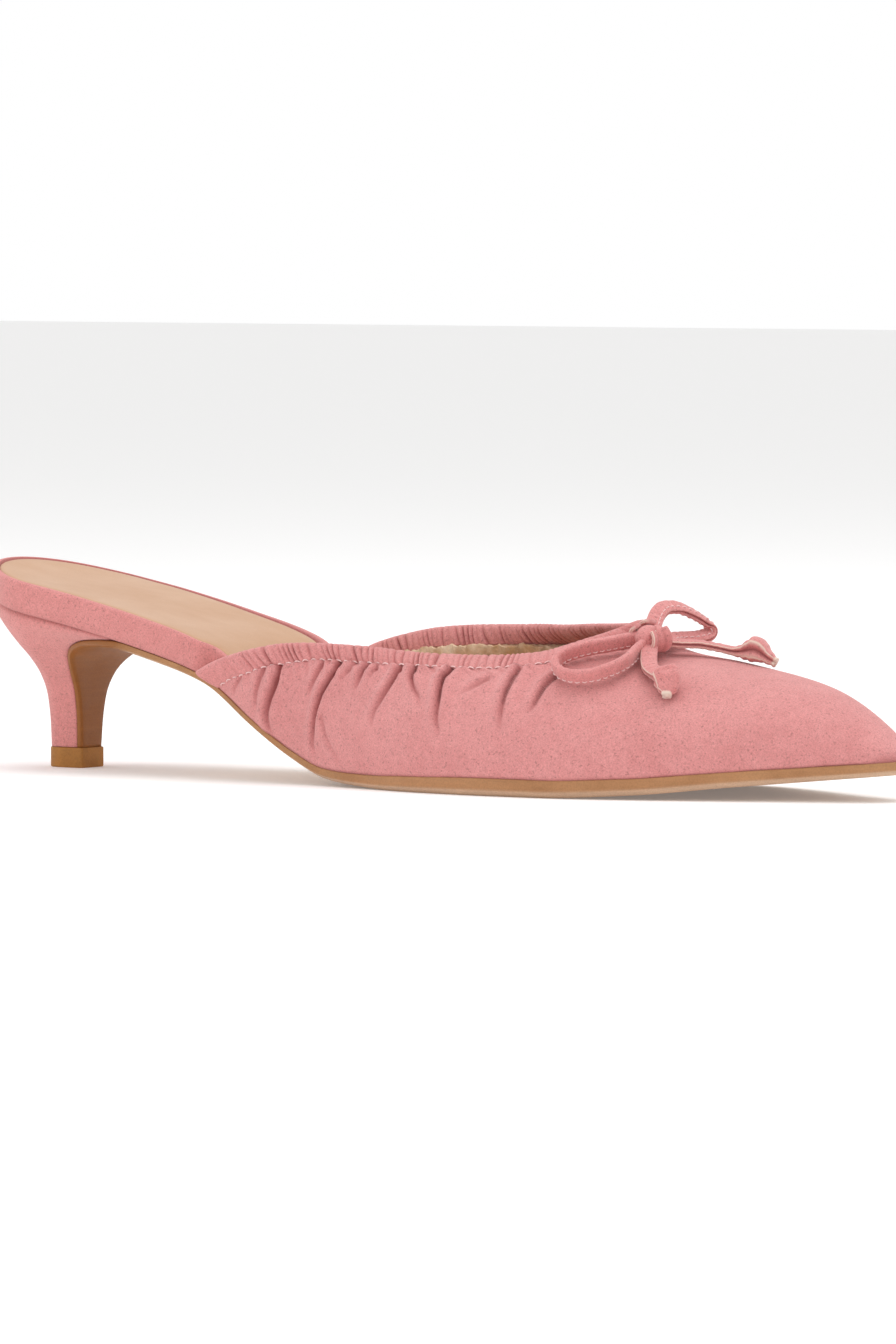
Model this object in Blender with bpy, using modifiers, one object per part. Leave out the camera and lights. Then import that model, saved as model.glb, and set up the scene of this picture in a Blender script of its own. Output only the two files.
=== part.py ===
# Kitten heel mule, right shoe: pointed toe, open back, gathered elastic topline and a small bow.
# Metres. +X runs from heel to toe, +Y is the inner side of the foot and +Z is up.
# The origin is the middle of the top lift's flat base, on the floor.
# Tables give lengths as shares of the named sizes. Along is measured from the back of the seat.

import math

import bmesh
import bpy
import numpy as np

# Driving sizes
LENGTH = 0.252
BALL_WIDTH = 0.0757
SEAT_WIDTH = 0.0496
SEAT_LENGTH = 0.050
HEEL_RISE = 0.0413
TOE_SPRING = 0.0064
VAMP_RISE = 0.0400
RIDGE_SHIFT = 0.0055
SEAT_RADIUS = 0.022
TOE_RADIUS = 0.006
SOLE_THICKNESS = 0.0042
SOLE_BEVEL = 0.0019
SOLE_WALL_SHARE = 0.62
BREAST_THICKNESS = 0.0014
LIFT_HEIGHT = 0.0049
LIFT_OVERHANG = 0.0003
BOARD_THICKNESS = 0.0074
BOARD_EDGE_ROUND = 0.0009
BOARD_TOE_ROOM = 0.0080
BOARD_STEP = 0.0050
SOCK_THICKNESS = 0.0011
RIM_WIDTH = 0.0014
WALL = 0.0015
WALL_SLANT = 1.25
CASING_THICKNESS = 0.0031
CASING_CLEARANCE = 0.0008
CASING_LIFT_STEP = 0.02
CASING_END_RUN = 0.016
RIBBON_WIDTH = 0.0040
RIBBON_THICKNESS = 0.0018
BOW_REACH = 0.0270
KNOT_LENGTH = 0.0078
KNOT_WIDTH = 0.0094
KNOT_HEIGHT = 0.0064
KNOT_FOOT_SHARE = 1.5
GAP = 0.0003

# Outline of sole and upper: along, outer edge, inner edge, outer body, inner body.
# Widths are shares of half the seat width at the back and half the ball width in front.
PLAN = (
    (0.00, 0.988, 0.972, 1.008, 0.992),
    (0.06, 1.024, 1.000, 1.044, 1.024),
    (0.14, 1.008, 1.012, 1.032, 1.040),
    (0.22, 1.012, 0.996, 1.044, 1.048),
    (0.29, 1.040, 1.012, 1.101, 1.081),
    (0.35, 1.086, 0.858, 1.155, 1.039),
    (0.40, 0.988, 0.697, 1.092, 0.946),
    (0.44, 0.950, 0.619, 1.041, 0.877),
    (0.48, 0.952, 0.612, 1.021, 0.838),
    (0.52, 0.968, 0.665, 1.023, 0.845),
    (0.57, 1.009, 0.771, 1.052, 0.898),
    (0.63, 1.041, 0.906, 1.075, 0.978),
    (0.70, 1.015, 0.985, 1.041, 1.020),
    (0.78, 0.864, 0.901, 0.888, 0.922),
    (0.86, 0.624, 0.661, 0.647, 0.682),
    (0.93, 0.380, 0.383, 0.402, 0.404),
    (1.00, 0.177, 0.172, 0.190, 0.185),
)
WIDTH_CHANGE = (0.30, 0.57)

# Underside of the sole: along, share of the heel's rise, share of the toe spring.
ARCH = (
    (0.00, 1.000, 0.00),
    (0.06, 0.903, 0.00),
    (0.14, 0.802, 0.00),
    (0.22, 0.685, 0.00),
    (0.29, 0.555, 0.00),
    (0.35, 0.332, 0.00),
    (0.40, 0.138, 0.00),
    (0.44, 0.040, 0.00),
    (0.48, 0.013, 0.00),
    (0.53, 0.000, 0.00),
    (0.69, 0.000, 0.00),
    (0.78, 0.000, 0.16),
    (0.86, 0.000, 0.48),
    (0.93, 0.000, 0.74),
    (1.00, 0.000, 1.00),
)

# Thickness of the sole: along, share of the full thickness.
SUBSTANCE = ((0.00, 0.48), (0.30, 0.48), (0.45, 0.64), (0.55, 0.88), (0.65, 1.00), (0.80, 0.91), (1.00, 0.72))

# Crest of the last over the foot: along, height above the floor as a share of the vamp's rise.
CREST = (
    (0.26, 2.020),
    (0.32, 1.800),
    (0.40, 1.530),
    (0.48, 1.310),
    (0.56, 1.140),
    (0.635, 1.015),
    (0.715, 0.872),
    (0.755, 0.808),
    (0.797, 0.776),
    (0.853, 0.697),
    (0.895, 0.620),
    (0.938, 0.535),
    (0.967, 0.465),
    (1.000, 0.390),
)
CREST_SIDE = ((0.26, 0.00), (0.40, 0.35), (0.56, 1.00), (0.74, 1.00), (0.88, 0.70), (1.00, 0.05))

# Topline, from the outer rear corner round the throat to the inner rear corner.
# Seam along, seam height, edge along, edge height, edge across: along as shares of the length,
# heights of the vamp's rise and across of half the ball width.
TOPLINE = (
    (0.3120, 0.550, 0.2915, 0.650, -0.742),
    (0.3275, 0.600, 0.3130, 0.712, -0.757),
    (0.3490, 0.640, 0.3330, 0.755, -0.760),
    (0.3740, 0.690, 0.3610, 0.800, -0.755),
    (0.4015, 0.718, 0.3935, 0.833, -0.742),
    (0.4335, 0.742, 0.4265, 0.841, -0.728),
    (0.4950, 0.734, 0.4890, 0.822, -0.702),
    (0.5570, 0.730, 0.5500, 0.786, -0.664),
    (0.6130, 0.726, 0.6050, 0.783, -0.602),
    (0.6600, 0.752, 0.6480, 0.802, -0.490),
    (0.6980, 0.806, 0.6810, 0.880, -0.320),
    (0.7230, 0.846, 0.7010, 0.948, -0.140),
    (0.7370, 0.872, 0.7095, 0.998, 0.045),
    (0.7270, 0.876, 0.7030, 0.982, 0.160),
    (0.6980, 0.878, 0.6760, 0.956, 0.250),
    (0.6500, 0.862, 0.6350, 0.940, 0.345),
    (0.5850, 0.838, 0.5750, 0.922, 0.505),
    (0.5150, 0.818, 0.5080, 0.920, 0.630),
    (0.4400, 0.790, 0.4320, 0.890, 0.687),
    (0.3980, 0.738, 0.3890, 0.842, 0.692),
    (0.3640, 0.664, 0.3520, 0.776, 0.684),
    (0.3430, 0.590, 0.3300, 0.705, 0.672),
    (0.3260, 0.520, 0.3120, 0.630, 0.655),
)

# Heel block: front along, front height, half width, back along, back height.
# Lengths are shares of the seat length, heights of the heel's rise, widths of the seat width.
HEEL_FORM = (
    (1.000, 0.758, 0.474, 0.004, 1.040),
    (0.920, 0.776, 0.462, 0.004, 1.000),
    (0.845, 0.778, 0.446, 0.020, 0.935),
    (0.715, 0.772, 0.404, 0.074, 0.838),
    (0.590, 0.738, 0.342, 0.142, 0.734),
    (0.508, 0.668, 0.264, 0.192, 0.648),
    (0.466, 0.562, 0.180, 0.221, 0.548),
    (0.453, 0.434, 0.122, 0.236, 0.428),
    (0.447, 0.274, 0.097, 0.245, 0.272),
    (0.443, 0.126, 0.089, 0.249, 0.126),
)
HEEL_ROUND_SHARE = 0.46
HEEL_TIP_ROW = 1.15

# Thickness of the insole board: along, share of the full thickness.
BOARD_SUBSTANCE = ((0.00, 1.00), (0.38, 1.00), (0.60, 0.50), (1.00, 0.34))

# Bow strips as rows of forward, across and lift above the vamp, in shares of the bow's reach.
BOW_KNOT_ALONG = 0.744
BOW_KNOT_ACROSS = -0.180
BOW_KNOT_LIFT = 0.0050
NEAR_LOOP = (
    (-0.19, -0.16, 0.125),
    (-0.26, -0.28, 0.122),
    (-0.36, -0.41, 0.120),
    (-0.45, -0.53, 0.118),
    (-0.51, -0.63, 0.122),
    (-0.52, -0.72, 0.132),
    (-0.46, -0.79, 0.140),
    (-0.37, -0.81, 0.138),
    (-0.27, -0.79, 0.136),
    (-0.17, -0.74, 0.136),
    (-0.08, -0.65, 0.134),
    (-0.01, -0.51, 0.122),
    (0.01, -0.36, 0.116),
    (-0.01, -0.25, 0.116),
)
FAR_LOOP = (
    (-0.10, 0.22, 0.250),
    (-0.12, 0.31, 0.301),
    (-0.12, 0.41, 0.339),
    (-0.08, 0.52, 0.353),
    (-0.01, 0.63, 0.338),
    (0.05, 0.74, 0.307),
    (0.09, 0.82, 0.266),
    (0.10, 0.81, 0.216),
    (0.08, 0.71, 0.155),
    (0.03, 0.59, 0.118),
    (-0.02, 0.46, 0.099),
    (-0.02, 0.33, 0.097),
)
NEAR_TAIL = (
    (0.11, -0.22, 0.105),
    (0.16, -0.30, 0.092),
    (0.22, -0.37, 0.090),
    (0.32, -0.44, 0.108),
    (0.45, -0.49, 0.128),
    (0.50, -0.54, 0.124),
    (0.53, -0.61, 0.095),
)
FAR_TAIL = (
    (0.18, 0.27, 0.110),
    (0.25, 0.36, 0.108),
    (0.34, 0.41, 0.100),
    (0.44, 0.45, 0.092),
    (0.55, 0.48, 0.084),
    (0.65, 0.51, 0.092),
    (0.74, 0.53, 0.118),
    (0.82, 0.55, 0.112),
    (0.91, 0.57, 0.084),
)
# Tip of each loop's strip away from the vamp's normal.
NEAR_LOOP_LEAN = (0.0, -0.10, 0.0)
FAR_LOOP_LEAN = (-1.1, 0.0, -0.4)
# Size of a tail along its run: strip, end knot, raw tip.
TAIL_SWELL = ((0.0, 1.0), (0.56, 1.0), (0.68, 1.55), (0.76, 1.75), (0.85, 1.45), (0.92, 0.62), (1.0, 0.70))

# Mesh density
SOLE_STATIONS = 54
BOARD_STATIONS = 80
UPPER_COLUMNS = 88
UPPER_ROWS = 11
CASING_STATIONS = 88
HEEL_LEVELS = 16
HEEL_AROUND = 15
LOOP_STATIONS = 30
TAIL_STATIONS = 20
KNOT_SEGMENTS = 20
FINE = 801


# Curves through tables

def column(table, index):
    return np.array([row[index] for row in table], dtype=float)


def smooth(xs, ys, at):
    """Monotone cubic through the points (xs, ys), read at the places in at."""
    xs = np.asarray(xs, dtype=float)
    ys = np.asarray(ys, dtype=float)
    step = np.diff(xs)
    slope = np.diff(ys) / step
    left, right = slope[:-1], slope[1:]
    heavy = 2 * step[1:] + step[:-1]
    light = step[1:] + 2 * step[:-1]
    same_way = left * right > 0
    safe_left = np.where(same_way, left, 1.0)
    safe_right = np.where(same_way, right, 1.0)
    inner = np.where(same_way, (heavy + light) / (heavy / safe_left + light / safe_right), 0.0)
    tangent = np.concatenate([[slope[0]], inner, [slope[-1]]])
    at = np.clip(at, xs[0], xs[-1])
    cell = np.clip(np.searchsorted(xs, at, side="right") - 1, 0, len(step) - 1)
    t = (at - xs[cell]) / step[cell]
    width = step[cell]
    return (ys[cell] * (1 + 2 * t) * (1 - t) ** 2 + ys[cell + 1] * t * t * (3 - 2 * t)
            + width * (tangent[cell] * t * (1 - t) ** 2 - tangent[cell + 1] * t * t * (1 - t)))


def ease(t):
    t = np.clip(t, 0.0, 1.0)
    return t * t * (3 - 2 * t)


def unit(vectors):
    return vectors / np.maximum(np.linalg.norm(vectors, axis=-1, keepdims=True), 1e-12)


# The last, as functions of the distance along the shoe

def toe_round(along):
    """Share of full size left by the round toe tip: a quarter circle over the toe radius."""
    into = np.clip((along - (LENGTH - TOE_RADIUS)) / TOE_RADIUS, 0.0, 1.0)
    return np.sqrt(1.0 - into ** 2)


def seat_round(along):
    """Share of full width left by the round back of the seat."""
    into = np.clip((SEAT_RADIUS - along) / SEAT_RADIUS, 0.0, 1.0)
    return np.sqrt(1.0 - into ** 2)


def half_width(along, side, body=False):
    """Half width of the sole's edge, or of the upper's body, on the outer (-1) or inner (+1) side."""
    index = (1 if side < 0 else 2) + (2 if body else 0)
    share = along / LENGTH
    blend = ease((share - WIDTH_CHANGE[0]) / (WIDTH_CHANGE[1] - WIDTH_CHANGE[0]))
    reference = (SEAT_WIDTH * (1 - blend) + BALL_WIDTH * blend) / 2
    width = smooth(column(PLAN, 0), column(PLAN, index), share) * reference
    return width * toe_round(along) * seat_round(along)


def sole_thickness(along):
    return SOLE_THICKNESS * smooth(column(SUBSTANCE, 0), column(SUBSTANCE, 1), along / LENGTH)


def base_height(along):
    """Height of the top of the sole, the feather line."""
    share = along / LENGTH
    rise = HEEL_RISE * smooth(column(ARCH, 0), column(ARCH, 1), share)
    spring = TOE_SPRING * smooth(column(ARCH, 0), column(ARCH, 2), share)
    return rise + spring + sole_thickness(along)


def crest_rise(along):
    """Height of the last's crest above the feather line."""
    crest = VAMP_RISE * smooth(column(CREST, 0), column(CREST, 1), along / LENGTH)
    return (crest - base_height(along)) * toe_round(along)


def last_point(along, side, lift):
    """Point of the last: side is -1 or +1, lift is the height share from feather (0) to crest (1).

    Each side is a quarter ellipse from the crest line down to the body width, drawn in to the
    sole's edge near the feather line.
    """
    lift = np.clip(lift, 0.0, 1.0)
    edge = np.where(side < 0, half_width(along, -1), half_width(along, 1))
    body = np.where(side < 0, half_width(along, -1, True), half_width(along, 1, True))
    shift = RIDGE_SHIFT * smooth(column(CREST_SIDE, 0), column(CREST_SIDE, 1), along / LENGTH)
    shift = shift * toe_round(along)
    swell = np.sin(np.clip(lift / 0.5, 0.0, 1.0) * math.pi / 2)
    width = edge + (body - edge) * swell
    across = shift + (side * width - shift) * np.sqrt(1.0 - lift ** 2)
    height = base_height(along) + GAP + crest_rise(along) * lift
    return np.stack([along + 0 * across, across, height], axis=-1)


def vamp_height(along, across):
    """Height of the upper's outer face over a point of the floor plan."""
    shift = RIDGE_SHIFT * smooth(column(CREST_SIDE, 0), column(CREST_SIDE, 1), along / LENGTH)
    side = np.where(across < shift, -1, 1)
    body = np.where(side < 0, half_width(along, -1, True), half_width(along, 1, True))
    share = np.clip((across - shift) / (side * body - shift), 0.0, 0.98)
    return base_height(along) + crest_rise(along) * np.sqrt(1.0 - share ** 2)


LIFT_FRONT = SEAT_LENGTH * HEEL_FORM[-1][0] + BREAST_THICKNESS + LIFT_OVERHANG
LIFT_BACK = SEAT_LENGTH * HEEL_FORM[-1][3] - LIFT_OVERHANG
LIFT_CENTRE = (LIFT_FRONT + LIFT_BACK) / 2
TO_ORIGIN = np.array([-LIFT_CENTRE, 0.0, 0.0])


# Mesh makers

def material(name, colour, roughness):
    made = bpy.data.materials.new(name)
    made.use_nodes = True
    shader = made.node_tree.nodes["Principled BSDF"]
    shader.inputs["Base Color"].default_value = (*colour, 1.0)
    shader.inputs["Roughness"].default_value = roughness
    shader.inputs["Metallic"].default_value = 0.0
    return made


def add_part(name, points, faces, finish):
    """Mesh object from points and faces, welded at its poles, with outward faces."""
    mesh = bpy.data.meshes.new(name)
    mesh.from_pydata((points + TO_ORIGIN).tolist(), [], faces)
    work = bmesh.new()
    work.from_mesh(mesh)
    bmesh.ops.remove_doubles(work, verts=work.verts, dist=0.000004)
    bmesh.ops.dissolve_degenerate(work, edges=work.edges, dist=0.000002)
    bmesh.ops.recalc_face_normals(work, faces=work.faces)
    work.to_mesh(mesh)
    work.free()
    mesh.shade_smooth()
    mesh.set_sharp_from_angle(angle=math.radians(40))
    mesh.materials.append(finish)
    piece = bpy.data.objects.new(name, mesh)
    parts.objects.link(piece)
    return piece


def tube_faces(rows, around, cap_first, cap_last):
    """Quads of a tube of closed rings, with flat caps where they are asked for."""
    faces = []
    for row in range(rows - 1):
        for spot in range(around):
            after = (spot + 1) % around
            faces.append((row * around + spot, row * around + after,
                          (row + 1) * around + after, (row + 1) * around + spot))
    if cap_first:
        faces.append(tuple(range(around))[::-1])
    if cap_last:
        faces.append(tuple((rows - 1) * around + spot for spot in range(around)))
    return faces


def add_tube(name, rings, finish, cap_first=True, cap_last=True):
    """Solid from an array of rings, shaped (rows, points, 3)."""
    rows, around = rings.shape[:2]
    faces = tube_faces(rows, around, cap_first, cap_last)
    return add_part(name, rings.reshape(-1, 3), faces, finish)


def outline(along, side, inset):
    """Sole outline points moved inwards by inset, in plan."""
    across = side * half_width(along, side)
    run = np.gradient(np.stack([along, across], axis=-1), axis=0)
    run[0] = (0.0, side) if along[0] < GAP else run[0]
    run[-1] = (0.0, -side) if along[-1] > LENGTH - GAP else run[-1]
    run = unit(run)
    inward = np.stack([run[:, 1] * side, -run[:, 0] * side], axis=-1)
    return np.stack([along, across], axis=-1) + inset[:, None] * inward


def plate_rings(along, profile):
    """Rings across a plate that follows the sole: profile rows are an inset and a height function."""
    left = []
    right = []
    for inset, height in profile:
        for side, store in ((-1, left), (1, right)):
            plan = outline(along, side, inset(along, side))
            if along[-1] > LENGTH - GAP:
                plan[-1, 1] = 0.0
            if along[0] < GAP:
                plan[0, 1] = 0.0
            store.append(np.column_stack([plan, height(plan[:, 0])]))
    return np.stack(left + right[::-1], axis=1)


def seat_to_toe(count, start=0.0):
    """Places along the shoe, closer together at the round ends."""
    turn = np.linspace(0.0, math.pi, count)
    if start > 0.0:
        return start + (LENGTH - start) * np.sin(turn / 2)
    return LENGTH * (1 - np.cos(turn)) / 2


# Sole and heel

def breast_path(count):
    """Back face of the leather on the heel's breast, from the seat's front edge down to the lift.

    Returns its points in the side view, half widths, and the direction away from the leather.
    """
    rows = np.arange(len(HEEL_FORM), dtype=float)
    at = np.linspace(0.0, rows[-1], count)
    along = SEAT_LENGTH * smooth(rows, column(HEEL_FORM, 0), at)
    height = HEEL_RISE * smooth(rows, column(HEEL_FORM, 1), at)
    width = SEAT_WIDTH * smooth(rows, column(HEEL_FORM, 2), at)
    run = unit(np.gradient(np.stack([along, height], axis=-1), axis=0))
    away = np.stack([run[:, 1], -run[:, 0]], axis=-1)
    return along, height, width, away


def make_outsole(finish):
    """Leather sole from the toe to the shank, running on down the breast of the heel."""
    front = seat_to_toe(SOLE_STATIONS, SEAT_LENGTH)
    profile = (
        (lambda at, side: SOLE_BEVEL * 1.8 + 0 * at, base_height),
        (lambda at, side: 0 * at, base_height),
        (lambda at, side: 0 * at, lambda at: base_height(at) - SOLE_WALL_SHARE * sole_thickness(at)),
        (lambda at, side: SOLE_BEVEL + 0 * at, lambda at: base_height(at) - sole_thickness(at)),
    )
    plate = plate_rings(front, profile)
    along, height, width, away = breast_path(2 * len(HEEL_FORM))
    top = base_height(np.array([SEAT_LENGTH]))[0]
    height = height + (top - height[0]) * np.linspace(1.0, 0.0, len(height)) ** 6
    join = half_width(np.array([SEAT_LENGTH]), -1)[0]
    width = width + (join - width[0]) * np.linspace(1.0, 0.0, len(width)) ** 4
    thick = sole_thickness(np.array([SEAT_LENGTH]))[0]
    thin = thick + (BREAST_THICKNESS - thick) * ease(np.linspace(0.0, 1.6, len(along)))
    bevel = np.minimum(SOLE_BEVEL * 1.8, width * 0.3)
    low_bevel = np.minimum(SOLE_BEVEL, width * 0.12)
    flap = []
    for side in (-1, 1):
        rows = []
        for inset, depth in ((bevel, 0.0), (0 * bevel, 0.0), (0 * bevel, SOLE_WALL_SHARE), (low_bevel, 1.0)):
            spot = np.stack([along, side * (width - inset), height], axis=-1)
            spot[:, 0] -= away[:, 0] * thin * depth
            spot[:, 2] -= away[:, 1] * thin * depth
            rows.append(spot)
        flap.append(rows)
    flap_rings = np.stack(flap[0] + flap[1][::-1], axis=1)[::-1]
    rings = np.concatenate([flap_rings[:-1], plate], axis=0)
    add_tube("outsole", rings, finish, cap_last=False)


def make_heel(finish):
    """Wrapped heel block: D sections that fan from the seat down to the stem."""
    rows = np.arange(len(HEEL_FORM), dtype=float)
    along, height, width, away = breast_path(FINE)
    level = np.linspace(0.0, rows[-1], FINE)
    pick = np.searchsorted(level, np.linspace(HEEL_TIP_ROW, rows[-1], HEEL_LEVELS))
    pick = np.clip(pick, 0, FINE - 1)
    back = SEAT_LENGTH * smooth(rows, column(HEEL_FORM, 3), level[pick])
    back_height = HEEL_RISE * smooth(rows, column(HEEL_FORM, 4), level[pick])
    front = along[pick] + away[pick, 0] * GAP
    front_height = height[pick] + away[pick, 1] * GAP
    turn = np.linspace(0.0, math.pi / 2, HEEL_AROUND)
    straight = 1.0 - HEEL_ROUND_SHARE
    reach = np.concatenate([[0.0, straight / 3, 2 * straight / 3], straight + HEEL_ROUND_SHARE * np.sin(turn)])
    spread = np.concatenate([[0.96, 0.99, 1.0], np.cos(turn)])
    rings = []
    for step in range(HEEL_LEVELS):
        fade = max(0.0, 1.0 - step / (0.4 * HEEL_LEVELS)) ** 2
        spot = front[step] + (back[step] - front[step]) * reach
        line = front_height[step] + (back_height[step] - front_height[step]) * reach
        seat_front = base_height(np.array([front[0]]))[0]
        seat_back = base_height(np.array([back[0]]))[0]
        straight_seat = seat_front + (seat_back - seat_front) * reach
        ceiling = base_height(front[0] + (back[0] - front[0]) * reach)
        rise = line + fade * (ceiling - straight_seat)
        if step == 0:
            rise = base_height(spot)
        half = width[pick][step] * spread
        if step < HEEL_LEVELS // 3:
            edge = half_width(np.maximum(spot, GAP), -1) - GAP
            half = np.minimum(half, edge)
        near = np.stack([spot, -half, rise], axis=-1)
        far = np.stack([spot, half, rise], axis=-1)[::-1]
        rings.append(np.concatenate([near, far[1:]], axis=0))
    rings = np.array(rings)
    rings[-1, :, 2] = LIFT_HEIGHT + GAP
    add_tube("heel", rings, finish)


def make_top_lift(finish):
    """Top lift: a D shaped block under the stem, flat at the front."""
    half = SEAT_WIDTH * HEEL_FORM[-1][2] + LIFT_OVERHANG
    turn = np.linspace(0.0, math.pi, 2 * HEEL_AROUND)
    centre = LIFT_BACK + HEEL_ROUND_SHARE * (LIFT_FRONT - LIFT_BACK)
    along = centre - (centre - LIFT_BACK) * np.sin(turn)
    across = -half * np.cos(turn)
    along = np.concatenate([[LIFT_FRONT], along, [LIFT_FRONT]])
    across = np.concatenate([[-half], across, [half]])
    rings = [np.column_stack([along, across, np.full_like(along, level)]) for level in (0.0, LIFT_HEIGHT)]
    add_tube("top_lift", np.array(rings), finish)


# Insole board and sock

def board_thickness(along):
    return BOARD_THICKNESS * smooth(column(BOARD_SUBSTANCE, 0), column(BOARD_SUBSTANCE, 1), along / LENGTH)


def board_inset(along, side, height):
    """Inset of the board at a height above the feather: none behind the upper, inside its wall in front."""
    corner = LENGTH * TOPLINE[0 if side < 0 else -1][2]
    inside = ease((along - corner + BOARD_STEP) / BOARD_STEP)
    lift = np.clip((height + GAP) / np.maximum(crest_rise(along), GAP), 0.0, 1.0)
    lean = side * last_point(along, side, lift)[:, 1] - half_width(along, side)
    return inside * np.maximum(WALL * WALL_SLANT + 2 * GAP - lean, 0.0)


def board_run(count):
    """Places along the board, which stops short of the upper's toe."""
    along = seat_to_toe(count)
    tip = LENGTH - BOARD_TOE_ROOM
    return np.append(along[along < tip - GAP], tip)


def make_board(finish):
    """Wrapped insole board with a softly rounded rim."""
    def over_base(lift, share):
        return lambda at: base_height(at) + lift + share * board_thickness(at)

    def inset(extra, share):
        return lambda at, side: extra + board_inset(at, side, GAP + share * board_thickness(at))

    round_off = BOARD_EDGE_ROUND
    profile = (
        (inset(round_off * 0.6, 0.0), over_base(GAP, 0.0)),
        (inset(0.0, 0.0), over_base(GAP + round_off * 0.5, 0.0)),
        (inset(0.0, 1.0), over_base(GAP - round_off, 1.0)),
        (inset(round_off * 0.8, 1.0), over_base(GAP, 1.0)),
        (inset(RIM_WIDTH, 1.0), over_base(GAP, 1.0)),
        (inset(RIM_WIDTH, 1.0), over_base(GAP - SOCK_THICKNESS, 1.0)),
    )
    add_tube("insole_board", plate_rings(board_run(BOARD_STATIONS), profile), finish, cap_first=False)


def make_sock(finish):
    """Thin sock lying in the board's recess, level with its rim."""
    rim = RIM_WIDTH + GAP
    edge = SOCK_THICKNESS * 0.35

    def over_board(lift):
        return lambda at: base_height(at) + 2 * GAP + board_thickness(at) - SOCK_THICKNESS + lift

    def inset(extra):
        return lambda at, side: rim + extra + board_inset(at, side, GAP + board_thickness(at))

    profile = (
        (inset(0.0), over_board(0.0)),
        (inset(0.0), over_board(SOCK_THICKNESS - edge)),
        (inset(edge), over_board(SOCK_THICKNESS)),
    )
    run = board_run(BOARD_STATIONS)
    run[-1] -= 2 * GAP
    add_tube("sock", plate_rings(run, profile), finish, cap_first=False)


# Upper

def topline_rows(count):
    """Seam points on the last and edge points of the casing, evenly spaced along the seam."""
    rows = np.arange(len(TOPLINE), dtype=float)
    fine = np.linspace(0.0, rows[-1], FINE)
    seam_along = LENGTH * smooth(rows, column(TOPLINE, 0), fine)
    seam_height = VAMP_RISE * smooth(rows, column(TOPLINE, 1), fine)
    throat = int(np.argmax(column(TOPLINE, 0)))
    side = np.where(fine < throat, -1.0, 1.0)
    lift = np.clip((seam_height - base_height(seam_along)) / crest_rise(seam_along), 0.0, 1.0)
    near_crest = np.clip(np.abs(fine - throat) / 1.3, 0.0, 1.0)
    lift = lift + (1.0 - lift) * (1.0 - near_crest) ** 2
    seam = last_point(seam_along, side, lift)
    edge = np.stack([
        LENGTH * smooth(rows, column(TOPLINE, 2), fine),
        BALL_WIDTH / 2 * smooth(rows, column(TOPLINE, 4), fine),
        VAMP_RISE * smooth(rows, column(TOPLINE, 3), fine)], axis=-1)
    run = np.concatenate([[0.0], np.cumsum(np.linalg.norm(np.diff(seam, axis=0), axis=1))])
    at = np.interp(np.linspace(0.0, run[-1], count), run, fine)
    pick = at / rows[-1] * (FINE - 1)
    index = np.arange(FINE, dtype=float)
    seam_at = np.stack([np.interp(pick, index, seam[:, k]) for k in range(3)], axis=-1)
    edge_at = np.stack([np.interp(pick, index, edge[:, k]) for k in range(3)], axis=-1)
    lift_at = np.interp(pick, index, lift)
    side_at = np.where(at < throat, -1.0, 1.0)
    return seam_at, edge_at, lift_at, side_at


def half_girth(along):
    """Length of one side of the section from feather to crest, for laying the upper out flat."""
    return 0.62 * (crest_rise(along) + half_width(along, -1, True))


def upper_grid(columns, rows):
    """Outer face of the upper: straight lines on the flattened last from the feather to the seam."""
    seam, edge, lift, side = topline_rows(columns)
    spread = np.linspace(-1.0, 1.0, columns)
    fan = 1.0 - np.abs(spread)
    reach = 0.68 * fan + 1.04 * fan ** 2 - 0.72 * fan ** 3
    foot = np.zeros(columns)
    for way in (-1, 1):
        corner = seam[0, 0] if way < 0 else seam[-1, 0]
        fine = corner - 0.0010 + (LENGTH - corner + 0.0010) * np.sin(np.linspace(0.0, math.pi / 2, FINE))
        path = np.column_stack([fine, half_width(fine, way)])
        run = np.concatenate([[0.0], np.cumsum(np.linalg.norm(np.diff(path, axis=0), axis=1))])
        mine = spread <= 0 if way < 0 else spread > 0
        foot[mine] = np.interp(reach[mine] * run[-1], run, fine)
    foot[np.argmin(np.abs(spread))] = LENGTH
    angle = np.arcsin(lift) / (math.pi / 2)
    top = side * (1.0 - angle) * half_girth(seam[:, 0])
    bottom = np.where(spread < 0, -1.0, 1.0) * half_girth(foot)
    bottom = np.where(np.abs(spread) < 1e-9, 0.0, bottom)
    t = np.linspace(0.0, 1.0, rows)[:, None]
    along = foot + (seam[:, 0] - foot) * t
    flat = bottom + (top - bottom) * t
    share = np.clip(flat / np.maximum(half_girth(along), 1e-9), -1.0, 1.0)
    rise = np.sin((1.0 - np.abs(share)) * math.pi / 2)
    way = np.where(share < 0, -1.0, 1.0)
    grid = last_point(along, way, rise)
    grid[-1] = seam
    return grid


def grid_faces(rows, columns):
    return [(r * columns + c, r * columns + c + 1, (r + 1) * columns + c + 1, (r + 1) * columns + c)
            for r in range(rows - 1) for c in range(columns - 1)]


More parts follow.
